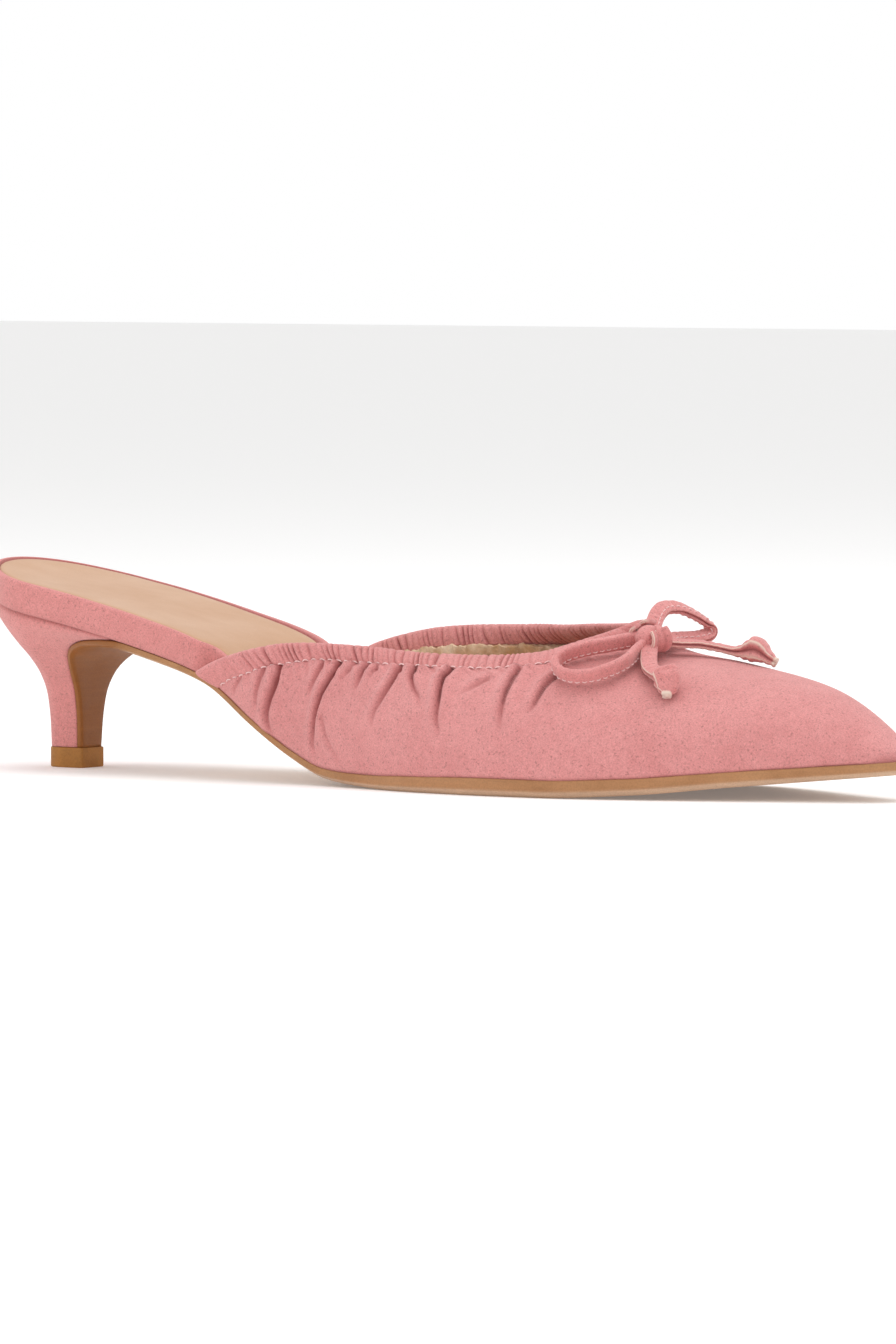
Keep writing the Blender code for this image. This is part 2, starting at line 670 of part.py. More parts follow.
def make_upper(finish):
    """Hollow upper: the last's outer face with a wall inside it."""
    grid = upper_grid(UPPER_COLUMNS, UPPER_ROWS)
    normal = unit(np.cross(np.gradient(grid[0], axis=0), grid[1] - grid[0]))
    outward = grid[0] - np.array([LENGTH / 2, 0.0, 0.0])
    lean = normal[:, 2] * np.sign(np.sum(normal * outward * (1.0, 1.0, 0.0), axis=1))
    grid[0, :, 2] += WALL * np.clip(lean, 0.0, 1.0)
    faces = grid_faces(UPPER_ROWS, UPPER_COLUMNS)
    mesh = bpy.data.meshes.new("upper")
    mesh.from_pydata((grid.reshape(-1, 3) + TO_ORIGIN).tolist(), [], faces)
    work = bmesh.new()
    work.from_mesh(mesh)
    bmesh.ops.remove_doubles(work, verts=work.verts, dist=0.000004)
    work.to_mesh(mesh)
    work.free()
    mesh.shade_smooth()
    mesh.materials.append(finish)
    piece = bpy.data.objects.new("upper", mesh)
    parts.objects.link(piece)
    wall = piece.modifiers.new("wall", "SOLIDIFY")
    wall.thickness = WALL
    wall.offset = -1.0
    wall.use_even_offset = True
    return piece


def make_casing(finish):
    """Gathered elastic casing along the topline, a full band with a rounded edge."""
    seam, edge, lift, side = topline_rows(CASING_STATIONS)
    run = unit(np.gradient(seam + edge, axis=0))
    rise = edge - seam
    outward = unit(np.cross(run, rise))
    wall_rise = seam - last_point(seam[:, 0], side, lift - CASING_LIFT_STEP)
    wall_out = unit(np.cross(np.gradient(seam, axis=0), wall_rise))
    outward = outward * np.sign(outward[:, 2:] + 0.5 * (outward[:, 1:2] * side[:, None]))
    wall_out = wall_out * np.sign(np.sum(wall_out * outward, axis=1, keepdims=True))
    nearest = np.min(np.linalg.norm(seam[:, None] - seam[[0, -1, int(np.argmax(seam[:, 0]))]], axis=2), axis=1)
    clearance = CASING_CLEARANCE * (3.0 - 2.0 * ease(nearest / CASING_END_RUN))
    foot = seam + unit(rise) * clearance[:, None]
    full = (CASING_THICKNESS - WALL) / 2
    profile = ((0.0, 0.0), (0.22, 0.55), (0.5, 1.0), (0.78, 0.9), (0.94, 0.25))
    ring = []
    for level, swell in profile:
        across = unit(wall_out * (1.0 - level) + outward * level)
        ring.append(foot + (edge + across * WALL / 2 - foot) * level + across * full * swell)
    ring.append(edge)
    for level, swell in profile[::-1]:
        across = unit(wall_out * (1.0 - level) + outward * level)
        ring.append(foot + (edge + across * WALL / 2 - foot) * level - across * (WALL * (1.0 + level) / 2 + full * swell))
    add_tube("collar_casing", np.stack(ring, axis=1), finish)


# Bow

def vamp_upright(along, across):
    """Unit normal of the upper's outer face over points of the floor plan."""
    slope_along = (vamp_height(along + GAP, across) - vamp_height(along - GAP, across)) / (2 * GAP)
    slope_across = (vamp_height(along, across + GAP) - vamp_height(along, across - GAP)) / (2 * GAP)
    return unit(np.stack([-slope_along, -slope_across, np.ones_like(slope_along)], axis=-1))


def bow_centre():
    along = LENGTH * BOW_KNOT_ALONG
    across = BALL_WIDTH / 2 * BOW_KNOT_ACROSS
    height = vamp_height(np.array([along]), np.array([across]))[0] + BOW_KNOT_LIFT
    return np.array([along, across, height])


def bow_run(rows, count):
    """Smooth run of a strip over the vamp, through rows of forward, across and lift."""
    knot = bow_centre()
    table = np.array(rows) * BOW_REACH
    along = knot[0] + table[:, 0]
    across = knot[1] + table[:, 1]
    height = vamp_height(along, across) + table[:, 2]
    spots = np.stack([along, across, height], axis=-1)
    gaps = np.linalg.norm(np.diff(spots, axis=0), axis=1)
    chord = np.concatenate([[0.0], np.cumsum(gaps)])
    at = np.linspace(0.0, chord[-1], count)
    padded = np.stack([smooth(chord, spots[:, k], at) for k in range(3)], axis=-1)
    for _ in range(2):
        padded[1:-1] = (padded[:-2] + 2 * padded[1:-1] + padded[2:]) / 4
    return padded


def strip_rings(run, upright, wide, thick):
    """Rounded strip sections along a run; upright is the direction of the strip's width."""
    ahead = unit(np.gradient(run, axis=0))
    width = unit(upright - ahead * np.sum(upright * ahead, axis=1, keepdims=True))
    flat = np.cross(ahead, width)
    corners = ((1.0, 0.35), (0.72, 1.0), (-0.72, 1.0), (-1.0, 0.35),
               (-1.0, -0.35), (-0.72, -1.0), (0.72, -1.0), (1.0, -0.35))
    ring = [run + width * (wide[:, None] / 2 * a) + flat * (thick[:, None] / 2 * b) for a, b in corners]
    return np.stack(ring, axis=1)


def make_loop(name, rows, lean, finish):
    """Strip standing on its edge, its width along the vamp's normal tipped over by lean."""
    run = bow_run(rows, LOOP_STATIONS)
    upright = vamp_upright(run[:, 0], run[:, 1]) + np.array(lean)
    wide = np.full(LOOP_STATIONS, RIBBON_WIDTH)
    thick = np.full(LOOP_STATIONS, RIBBON_THICKNESS)
    add_tube(name, strip_rings(run, upright, wide, thick), finish)


def make_tail(name, rows, finish):
    """Strip lying flat on the vamp, with its end knot and raw tip."""
    run = bow_run(rows, TAIL_STATIONS)
    share = np.linspace(0.0, 1.0, TAIL_STATIONS)
    swell = smooth(column(TAIL_SWELL, 0), column(TAIL_SWELL, 1), share)
    upright = np.cross(vamp_upright(run[:, 0], run[:, 1]), np.gradient(run, axis=0))
    rings = strip_rings(run, upright, RIBBON_WIDTH * np.minimum(swell, 1.3),
                        RIBBON_THICKNESS * (1.0 + 2.2 * np.maximum(swell - 1.0, 0.0)))
    add_tube(name, rings, finish)


def make_bow_knot(finish):
    """Centre knot: a squared ellipsoid, wider across the shoe than along it."""
    centre = bow_centre()
    pole = np.linspace(0.0, math.pi, KNOT_SEGMENTS // 2 + 1)[:, None]
    turn = np.linspace(0.0, 2 * math.pi, KNOT_SEGMENTS, endpoint=False)[None, :]

    def soften(value):
        return np.sign(value) * np.abs(value) ** 0.8

    across = soften(np.cos(pole)) * KNOT_WIDTH / 2 + 0 * turn
    forward = soften(np.sin(pole)) * soften(np.cos(turn)) * KNOT_LENGTH / 2
    above = soften(np.sin(pole)) * soften(np.sin(turn)) * KNOT_HEIGHT / 2
    above = np.where(above < 0, above * KNOT_FOOT_SHARE, above)
    rings = np.stack([forward, across, above], axis=-1) + centre
    floor = vamp_height(rings[..., 0], rings[..., 1]) + 2.5 * GAP
    rings[..., 2] = np.maximum(rings[..., 2], floor)
    add_tube("bow_knot", rings, finish, cap_first=False, cap_last=False)


for old in list(bpy.data.objects):
    bpy.data.objects.remove(old, do_unlink=True)
parts = bpy.data.collections.new("kitten_heel_mule")
bpy.context.scene.collection.children.link(parts)

rose_suede = material("rose_suede", (0.71, 0.30, 0.29), 0.92)
sole_leather = material("sole_leather", (0.43, 0.22, 0.10), 0.55)
lift_rubber = material("lift_rubber", (0.36, 0.16, 0.05), 0.60)
sock_leather = material("sock_leather", (0.71, 0.46, 0.31), 0.50)

make_outsole(sole_leather)
make_heel(rose_suede)
make_top_lift(lift_rubber)
make_board(rose_suede)
make_sock(sock_leather)
make_upper(rose_suede)
make_casing(rose_suede)
make_bow_knot(rose_suede)
make_loop("bow_loop_near", NEAR_LOOP, NEAR_LOOP_LEAN, rose_suede)
make_loop("bow_loop_far", FAR_LOOP, FAR_LOOP_LEAN, rose_suede)
make_tail("bow_tail_near", NEAR_TAIL, rose_suede)
make_tail("bow_tail_far", FAR_TAIL, rose_suede)
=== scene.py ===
# Kitten heel mule for the right foot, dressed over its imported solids.
# Metres: +X runs from heel to toe, +Y is the inner side of the foot, and the floor is at z 0.
# Along is measured from the back of the seat; the origin lies under the top lift.

import math

import bmesh
import bpy
import numpy as np
from mathutils import Matrix, Vector


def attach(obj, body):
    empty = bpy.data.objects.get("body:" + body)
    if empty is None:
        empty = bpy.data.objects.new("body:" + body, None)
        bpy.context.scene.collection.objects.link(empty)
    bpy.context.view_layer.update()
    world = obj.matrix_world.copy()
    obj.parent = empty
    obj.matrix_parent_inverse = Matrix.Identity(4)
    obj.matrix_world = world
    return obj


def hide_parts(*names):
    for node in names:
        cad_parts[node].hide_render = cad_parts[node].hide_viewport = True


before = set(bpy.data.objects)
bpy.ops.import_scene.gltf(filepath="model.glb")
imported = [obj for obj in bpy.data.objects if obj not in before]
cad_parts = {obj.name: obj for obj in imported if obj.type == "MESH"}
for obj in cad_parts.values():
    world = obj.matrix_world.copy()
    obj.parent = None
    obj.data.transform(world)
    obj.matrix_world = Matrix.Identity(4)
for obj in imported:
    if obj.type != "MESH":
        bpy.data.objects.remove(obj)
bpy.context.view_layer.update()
scene = bpy.context.scene


# Camera, floor and light
# A long lens a little above the floor, as for a product photo on white, and a wide soft light overhead.

AIM = Vector((0.108, 0.0, 0.020))
VIEW_TURN = math.radians(33.04)
VIEW_RISE = math.radians(2.95)
VIEW_ROLL = math.radians(0.21)
VIEW_DISTANCE = 2.1328

back = Vector((math.sin(VIEW_TURN) * math.cos(VIEW_RISE),
               -math.cos(VIEW_TURN) * math.cos(VIEW_RISE),
               math.sin(VIEW_RISE)))
lens = bpy.data.cameras.new("studio_camera")
lens.sensor_fit = "VERTICAL"
lens.sensor_height = 36.0
lens.lens = 241.08
lens.shift_x = 0.00183
lens.shift_y = 0.01954
lens.clip_end = 20.0
camera = bpy.data.objects.new("studio_camera", lens)
camera.location = AIM + back * VIEW_DISTANCE
facing = back.to_track_quat("Z", "Y").to_matrix() @ Matrix.Rotation(VIEW_ROLL, 3, "Z")
camera.rotation_euler = facing.to_euler()
scene.collection.objects.link(camera)
scene.camera = camera
scene.view_settings.view_transform = "Standard"

world = bpy.data.worlds.new("studio")
world.use_nodes = True
studio = world.node_tree
room_light = studio.nodes["Background"]
room_light.inputs["Color"].default_value = (1.0, 0.995, 0.99, 1.0)
room_light.inputs["Strength"].default_value = 0.80
backdrop = studio.nodes.new("ShaderNodeBackground")
backdrop.inputs["Color"].default_value = (1.0, 1.0, 1.0, 1.0)
straight_ray = studio.nodes.new("ShaderNodeLightPath")
chosen = studio.nodes.new("ShaderNodeMixShader")
studio.links.new(straight_ray.outputs["Is Camera Ray"], chosen.inputs[0])
studio.links.new(room_light.outputs[0], chosen.inputs[1])
studio.links.new(backdrop.outputs[0], chosen.inputs[2])
studio.links.new(chosen.outputs[0], studio.nodes["World Output"].inputs["Surface"])
scene.world = world


def soft_light(name, size, place, power, colour=(1.0, 1.0, 1.0)):
    """Square area light of that size at place, facing the shoe."""
    lamp = bpy.data.lights.new(name, "AREA")
    lamp.shape = "SQUARE"
    lamp.size = size
    lamp.energy = power
    lamp.color = colour
    holder = bpy.data.objects.new(name, lamp)
    holder.location = place
    holder.rotation_euler = (Vector(place) - AIM).to_track_quat("Z", "Y").to_euler()
    scene.collection.objects.link(holder)


soft_light("overhead_softbox", 1.3, (0.25, 0.15, 1.35), 9.8)
soft_light("front_left_softbox", 0.9, (-0.9, -1.3, 0.95), 3.2)
soft_light("toe_softbox", 0.7, (1.3, -0.5, 0.8), 1.0)

floor_mesh = bpy.data.meshes.new("floor")
FLOOR_REACH = 9.0
floor_mesh.from_pydata([(-FLOOR_REACH, -FLOOR_REACH, 0.0), (FLOOR_REACH, -FLOOR_REACH, 0.0),
                        (FLOOR_REACH, FLOOR_REACH, 0.0), (-FLOOR_REACH, FLOOR_REACH, 0.0)], [], [(0, 1, 2, 3)])
floor = bpy.data.objects.new("floor", floor_mesh)
floor_paint = bpy.data.materials.new("white_paper")
floor_paint.use_nodes = True
floor_shader = floor_paint.node_tree.nodes["Principled BSDF"]
floor_shader.inputs["Base Color"].default_value = (0.93, 0.93, 0.93, 1.0)
floor_shader.inputs["Roughness"].default_value = 0.85
floor_shader.inputs["Specular IOR Level"].default_value = 0.1
floor_shader.inputs["Emission Color"].default_value = (1.0, 1.0, 1.0, 1.0)
floor_shader.inputs["Emission Strength"].default_value = 0.12
floor_mesh.materials.append(floor_paint)
scene.collection.objects.link(floor)


# Outsole
# Stained leather sole with a bevelled lower edge. It runs from the toe to the shank and on down
# the breast of the heel as a thin tongue, cemented on.

LENGTH = 0.252
BALL_WIDTH = 0.0757
SEAT_WIDTH = 0.0496
SEAT_LENGTH = 0.050
HEEL_RISE = 0.0413
TOE_SPRING = 0.0064
VAMP_RISE = 0.0400
RIDGE_SHIFT = 0.0055
SEAT_RADIUS = 0.022
TOE_RADIUS = 0.006
SOLE_THICKNESS = 0.0042
SOLE_BEVEL = 0.0019
BREAST_THICKNESS = 0.0014
TO_ORIGIN = np.array([-0.0180, 0.0, 0.0])
HAIR = 0.0001

# Outline: along, outer edge, inner edge, outer body, inner body, as shares of half the seat or ball width.
PLAN = np.array((
    (0.00, 0.988, 0.972, 1.008, 0.992),
    (0.06, 1.024, 1.000, 1.044, 1.024),
    (0.14, 1.008, 1.012, 1.032, 1.040),
    (0.22, 1.012, 0.996, 1.044, 1.048),
    (0.29, 1.040, 1.012, 1.101, 1.081),
    (0.35, 1.086, 0.858, 1.155, 1.039),
    (0.40, 0.988, 0.697, 1.092, 0.946),
    (0.44, 0.950, 0.619, 1.041, 0.877),
    (0.48, 0.952, 0.612, 1.021, 0.838),
    (0.52, 0.968, 0.665, 1.023, 0.845),
    (0.57, 1.009, 0.771, 1.052, 0.898),
    (0.63, 1.041, 0.906, 1.075, 0.978),
    (0.70, 1.015, 0.985, 1.041, 1.020),
    (0.78, 0.864, 0.901, 0.888, 0.922),
    (0.86, 0.624, 0.661, 0.647, 0.682),
    (0.93, 0.380, 0.383, 0.402, 0.404),
    (1.00, 0.177, 0.172, 0.190, 0.185)))
# Underside: along, share of the heel's rise, share of the toe spring.
ARCH = np.array((
    (0.00, 1.000, 0.00), (0.06, 0.903, 0.00), (0.14, 0.802, 0.00), (0.22, 0.685, 0.00),
    (0.29, 0.555, 0.00), (0.35, 0.332, 0.00), (0.40, 0.138, 0.00), (0.44, 0.040, 0.00),
    (0.48, 0.013, 0.00), (0.53, 0.000, 0.00), (0.69, 0.000, 0.00), (0.78, 0.000, 0.16),
    (0.86, 0.000, 0.48), (0.93, 0.000, 0.74), (1.00, 0.000, 1.00)))
# Sole thickness: along, share of the full thickness.
SUBSTANCE = np.array((
    (0.00, 0.48), (0.30, 0.48), (0.45, 0.64), (0.55, 0.88), (0.65, 1.00), (0.80, 0.91), (1.00, 0.72)))
# Heel: front along, front height, half width, back along, back height.
HEEL_FORM = np.array((
    (1.000, 0.758, 0.474, 0.004, 1.040),
    (0.920, 0.776, 0.462, 0.004, 1.000),
    (0.845, 0.778, 0.446, 0.020, 0.935),
    (0.715, 0.772, 0.404, 0.074, 0.838),
    (0.590, 0.738, 0.342, 0.142, 0.734),
    (0.508, 0.668, 0.264, 0.192, 0.648),
    (0.466, 0.562, 0.180, 0.221, 0.548),
    (0.453, 0.434, 0.122, 0.236, 0.428),
    (0.447, 0.274, 0.097, 0.245, 0.272),
    (0.443, 0.126, 0.089, 0.249, 0.126)))


def smooth(xs, ys, at):
    """Monotone cubic through the points (xs, ys), read at the places in at."""
    step = np.diff(xs)
    slope = np.diff(ys) / step
    left, right = slope[:-1], slope[1:]
    heavy = 2 * step[1:] + step[:-1]
    light = step[1:] + 2 * step[:-1]
    same_way = left * right > 0
    inner = np.where(same_way, (heavy + light) / (heavy / np.where(same_way, left, 1.0)
                                                  + light / np.where(same_way, right, 1.0)), 0.0)
    tangent = np.concatenate([[slope[0]], inner, [slope[-1]]])
    at = np.clip(at, xs[0], xs[-1])
    cell = np.clip(np.searchsorted(xs, at, side="right") - 1, 0, len(step) - 1)
    t = (at - xs[cell]) / step[cell]
    return (ys[cell] * (1 + 2 * t) * (1 - t) ** 2 + ys[cell + 1] * t * t * (3 - 2 * t)
            + step[cell] * (tangent[cell] * t * (1 - t) ** 2 - tangent[cell + 1] * t * t * (1 - t)))


def ease(t):
    """Smooth step from 0 to 1."""
    t = np.clip(t, 0.0, 1.0)
    return t * t * (3 - 2 * t)


def bell(t):
    """Gaussian bump of height 1 and width 1."""
    return np.exp(-t * t)


def unit(vectors):
    return vectors / np.maximum(np.linalg.norm(vectors, axis=-1, keepdims=True), 1e-12)


def toe_round(along):
    """Quarter circle that closes the toe over its radius."""
    return np.sqrt(1.0 - np.clip((along - (LENGTH - TOE_RADIUS)) / TOE_RADIUS, 0.0, 1.0) ** 2)


def half_width(along, side, body=False):
    """Half width of the sole's edge, or of the upper's body, on the outer (-1) or inner (+1) side."""
    share = along / LENGTH
    blend = ease((share - 0.30) / 0.27)
    reference = (SEAT_WIDTH * (1 - blend) + BALL_WIDTH * blend) / 2
    seat_round = np.sqrt(1.0 - np.clip((SEAT_RADIUS - along) / SEAT_RADIUS, 0.0, 1.0) ** 2)
    index = (1 if side < 0 else 2) + (2 if body else 0)
    return smooth(PLAN[:, 0], PLAN[:, index], share) * reference * toe_round(along) * seat_round


def sole_thickness(along):
    return SOLE_THICKNESS * smooth(SUBSTANCE[:, 0], SUBSTANCE[:, 1], along / LENGTH)


def base_height(along):
    """Height of the feather line: heel rise, toe spring and sole thickness added."""
    share = along / LENGTH
    return (HEEL_RISE * smooth(ARCH[:, 0], ARCH[:, 1], share)
            + TOE_SPRING * smooth(ARCH[:, 0], ARCH[:, 2], share) + sole_thickness(along))


def outline(along, side, inset):
    """Sole outline moved inwards by inset along its own normal in plan."""
    run = np.gradient(np.stack([along, side * half_width(along, side)], axis=-1), axis=0)
    run[0] = (0.0, side) if along[0] < HAIR else run[0]
    run[-1] = (0.0, -side) if along[-1] > LENGTH - HAIR else run[-1]
    run = unit(run)
    inward = np.stack([run[:, 1] * side, -run[:, 0] * side], axis=-1)
    return np.stack([along, side * half_width(along, side)], axis=-1) + inset[:, None] * inward


def plate_rings(along, profile):
    """Rings across a plate that follows the sole; each profile row is an inset and a height function."""
    halves = {-1: [], 1: []}
    for inset, height in profile:
        for side in (-1, 1):
            plan = outline(along, side, inset(along, side))
            if along[-1] > LENGTH - HAIR:
                plan[-1, 1] = 0.0
            if along[0] < HAIR:
                plan[0, 1] = 0.0
            halves[side].append(np.column_stack([plan, height(plan[:, 0])]))
    return np.stack(halves[-1] + halves[1][::-1], axis=1)


def build(name, points, faces, finishes, slots=None, body="root", **marks):
    """Closed mesh piece with outward faces; marks are named values for each point."""
    mesh = bpy.data.meshes.new(name)
    mesh.from_pydata((points.reshape(-1, 3) + TO_ORIGIN).tolist(), [], faces)
    for finish in finishes:
        mesh.materials.append(finish)
    if slots is not None:
        mesh.polygons.foreach_set("material_index", slots)
    for mark, values in marks.items():
        layer = mesh.attributes.new(mark, "FLOAT", "POINT")
        layer.data.foreach_set("value", np.broadcast_to(values, points.shape[:-1]).astype(np.float32).ravel())
    work = bmesh.new()
    work.from_mesh(mesh)
    bmesh.ops.remove_doubles(work, verts=work.verts, dist=0.000002)
    bmesh.ops.dissolve_degenerate(work, edges=work.edges, dist=0.000001)
    bmesh.ops.recalc_face_normals(work, faces=work.faces)
    work.to_mesh(mesh)
    work.free()
    mesh.shade_smooth()
    piece = bpy.data.objects.new(name, mesh)
    scene.collection.objects.link(piece)
    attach(piece, body)
    return piece


def tube_faces(rows, around, first=True, last=True, start=0):
    """Quads between closed rings, with a cap at each end that asks for one."""
    spot = np.arange(around)
    after = (spot + 1) % around
    row = np.arange(rows - 1)[:, None] * around + start
    quads = np.stack([row + spot, row + after, row + around + after, row + around + spot], axis=-1)
    faces = quads.reshape(-1, 4).tolist()
    if first:
        faces.append((spot[::-1] + start).tolist())
    if last:
        faces.append((spot + (rows - 1) * around + start).tolist())
    return faces


def tube(name, rings, finishes, first=True, last=True, **marks):
    """Piece from an array of closed rings, shaped (rows, points, 3)."""
    return build(name, rings, tube_faces(*rings.shape[:2], first, last), finishes, **marks)


class Paint:
    """Node material with one Principled shader; put adds a node and links its inputs."""

    def __init__(self, name, roughness, **constants):
        self.material = bpy.data.materials.new(name)
        self.material.use_nodes = True
        self.tree = self.material.node_tree
        self.shader = self.tree.nodes["Principled BSDF"]
        self.shader.inputs["Roughness"].default_value = roughness
        for socket, value in constants.items():
            self.shader.inputs[socket.replace("_", " ")].default_value = value
        self.place = self.put("ShaderNodeTexCoord").outputs["Object"]

    def put(self, kind, settings=None, **inputs):
        node = self.tree.nodes.new(kind)
        for key, value in (settings or {}).items():
            setattr(node, key, value)
        for key, value in inputs.items():
            index = int(key[1:]) if key[0] == "i" and key[1:].isdigit() else key.replace("_", " ")
            socket = node.inputs[index]
            if isinstance(value, bpy.types.NodeSocket):
                self.tree.links.new(value, socket)
            else:
                socket.default_value = value
        return node

    def noise(self, scale, detail=3.0, rough=0.55, where=None):
        return self.put("ShaderNodeTexNoise", Vector=where or self.place, Scale=scale, Detail=detail,
                        Roughness=rough).outputs["Fac"]

    def stretch(self, scale):
        return self.put("ShaderNodeMapping", Vector=self.place, Scale=scale).outputs["Vector"]

    def mark(self, name):
        return self.put("ShaderNodeAttribute", {"attribute_name": name}).outputs["Fac"]

    def between(self, value, low, high, to_low=0.0, to_high=1.0):
        return self.put("ShaderNodeMapRange", i0=value, i1=low, i2=high, i3=to_low,
                        i4=to_high).outputs["Result"]

    def sum(self, kind, one, two):
        return self.put("ShaderNodeMath", {"operation": kind}, i0=one, i1=two).outputs["Value"]

    def mix(self, factor, one, two):
        """Colour between one and two by factor."""
        colours = [(*c, 1.0) if isinstance(c, tuple) and len(c) == 3 else c for c in (one, two)]
        return self.put("ShaderNodeMix", {"data_type": "RGBA"}, i0=factor, i6=colours[0],
                        i7=colours[1]).outputs[2]

    def shade(self, colour, value):
        """Colour multiplied by a value."""
        grey = self.put("ShaderNodeCombineColor", i0=value, i1=value, i2=value).outputs["Color"]
        return self.put("ShaderNodeMix", {"data_type": "RGBA", "blend_type": "MULTIPLY"}, i0=1.0, i6=colour,
                        i7=grey).outputs[2]

    def finish(self, colour, bumps=(), roughness=None):
        """Links colour, roughness and the bumps, each a height value, strength and depth in metres."""
        self.tree.links.new(colour, self.shader.inputs["Base Color"])
        if roughness is not None:
            self.tree.links.new(roughness, self.shader.inputs["Roughness"])
        normal = None
        for height, strength, depth in bumps:
            node = self.put("ShaderNodeBump", Height=height, Strength=strength, Distance=depth)
            if normal is not None:
                self.tree.links.new(normal, node.inputs["Normal"])
            normal = node.outputs["Normal"]
        if normal is not None:
            self.tree.links.new(normal, self.shader.inputs["Normal"])
        return self.material


def sole_leather():
    """Tan stain, streaked along the edge and darker in the pores; the bottom bevel is painted paler as
    reflected light from the white floor.
    """
    paint = Paint("sole_leather", 0.5, Specular_IOR_Level=0.35)
    streak = paint.noise(1.0, 4.0, 0.6, paint.stretch((60.0, 60.0, 900.0)))
    pore = paint.noise(2600.0, 2.0)
    stain = paint.noise(90.0, 3.0)
    colour = paint.mix(paint.between(stain, 0.3, 0.7), (0.455, 0.225, 0.098), (0.375, 0.175, 0.072))
    # Painted reflection: the bottom bevel is mixed towards a pale greyish tan, as light bounced up from the
    # white floor.
    colour = paint.mix(paint.mark("lower"), colour, (0.590, 0.390, 0.260))
    colour = paint.mix(paint.mark("breast"), colour, (0.290, 0.100, 0.016))
    colour = paint.shade(colour, paint.between(streak, 0.3, 0.7, 0.92, 1.06))
    colour = paint.shade(colour, paint.between(pore, 0.35, 0.6, 0.9, 1.04))
    return paint.finish(colour, ((streak, 0.2, 0.0001), (pore, 0.25, 0.00008)),
                        paint.between(stain, 0.3, 0.7, 0.42, 0.58))


# Half of the sole's edge: inset in bevels, depth in thicknesses, share of the paler bottom tone, which is
# painted reflected light from the floor.
EDGE = ((1.8, 0.00, 0.0), (0.14, 0.00, 0.0), (0.04, 0.03, 0.0), (0.00, 0.09, 0.0), (0.00, 0.30, 0.0),
        (0.00, 0.54, 0.0), (0.02, 0.62, 0.2), (0.10, 0.70, 0.8), (0.30, 0.79, 1.0), (0.60, 0.90, 1.0),
        (0.84, 0.97, 1.0), (1.10, 1.00, 1.0), (3.00, 1.00, 1.0), (6.00, 1.00, 1.0))


def breast_path(count):
    """Leather face on the heel's breast: side view points, half widths and the way off the leather."""
    rows = np.arange(len(HEEL_FORM), dtype=float)
    at = np.linspace(0.0, rows[-1], count)
    along = SEAT_LENGTH * smooth(rows, HEEL_FORM[:, 0], at)
    height = HEEL_RISE * smooth(rows, HEEL_FORM[:, 1], at)
    width = SEAT_WIDTH * smooth(rows, HEEL_FORM[:, 2], at)
    run = unit(np.gradient(np.stack([along, height], axis=-1), axis=0))
    return along, height, width, np.stack([run[:, 1], -run[:, 0]], axis=-1)


def edge_inset(along, side, bevels):
    """Inset of an edge row, drawn closer where the sole is narrow."""
    inset = bevels * SOLE_BEVEL
    return inset * np.minimum(1.0, half_width(along, side) / (0.5 * inset + 0.009))


front = SEAT_LENGTH + (LENGTH - SEAT_LENGTH) * np.sin(np.linspace(0.0, math.pi / 2, 300))
plate = plate_rings(front, [(lambda at, side, i=i: edge_inset(at, side, i),
                             lambda at, d=d: base_height(at) - d * sole_thickness(at)) for i, d, _ in EDGE])
along, height, width, away = breast_path(90)
seat_edge = np.array([SEAT_LENGTH])
run_out = np.linspace(1.0, 0.0, len(along))
height = height + (base_height(seat_edge)[0] - height[0]) * run_out ** 6
width = width + (half_width(seat_edge, -1)[0] - width[0]) * run_out ** 4
thick = sole_thickness(seat_edge)[0]
thin = thick + (BREAST_THICKNESS - thick) * ease(np.linspace(0.0, 1.6, len(along)))
bevel = np.minimum(SOLE_BEVEL, width * 0.14)
halves = []
for side in (-1, 1):
    rows = []
    for inset, depth, _ in EDGE:
        spot = np.stack([along, side * (width - inset * bevel), height], axis=-1)
        spot[:, 0] -= away[:, 0] * thin * depth
        spot[:, 2] -= away[:, 1] * thin * depth
        rows.append(spot)
    halves.append(rows)
flap = np.stack(halves[0] + halves[1][::-1], axis=1)[::-1]
LIFT_HEIGHT = 0.0049
flap[0, :, 2] = LIFT_HEIGHT + HAIR / 2
sole_rings = np.concatenate([flap[:-1], plate], axis=0)
# Share of the painted floor reflection on each row of the edge.
lower = np.array([row[2] for row in EDGE])
on_breast = ease((SEAT_LENGTH + 0.004 - sole_rings[:, :1, 0]) / 0.008) * np.ones_like(sole_rings[..., 0])
outsole = tube("outsole_leather", sole_rings, [sole_leather()], last=False,
               lower=np.concatenate([lower, lower[::-1]])[None, :] * (1 - on_breast), breast=on_breast)
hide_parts("outsole")


# Heel
# Low curved heel block wrapped in the upper's suede, wide and D shaped at the seat and a slim stem below.

HEEL_ROUND_SHARE = 0.46
HEEL_TIP_ROW = 1.15


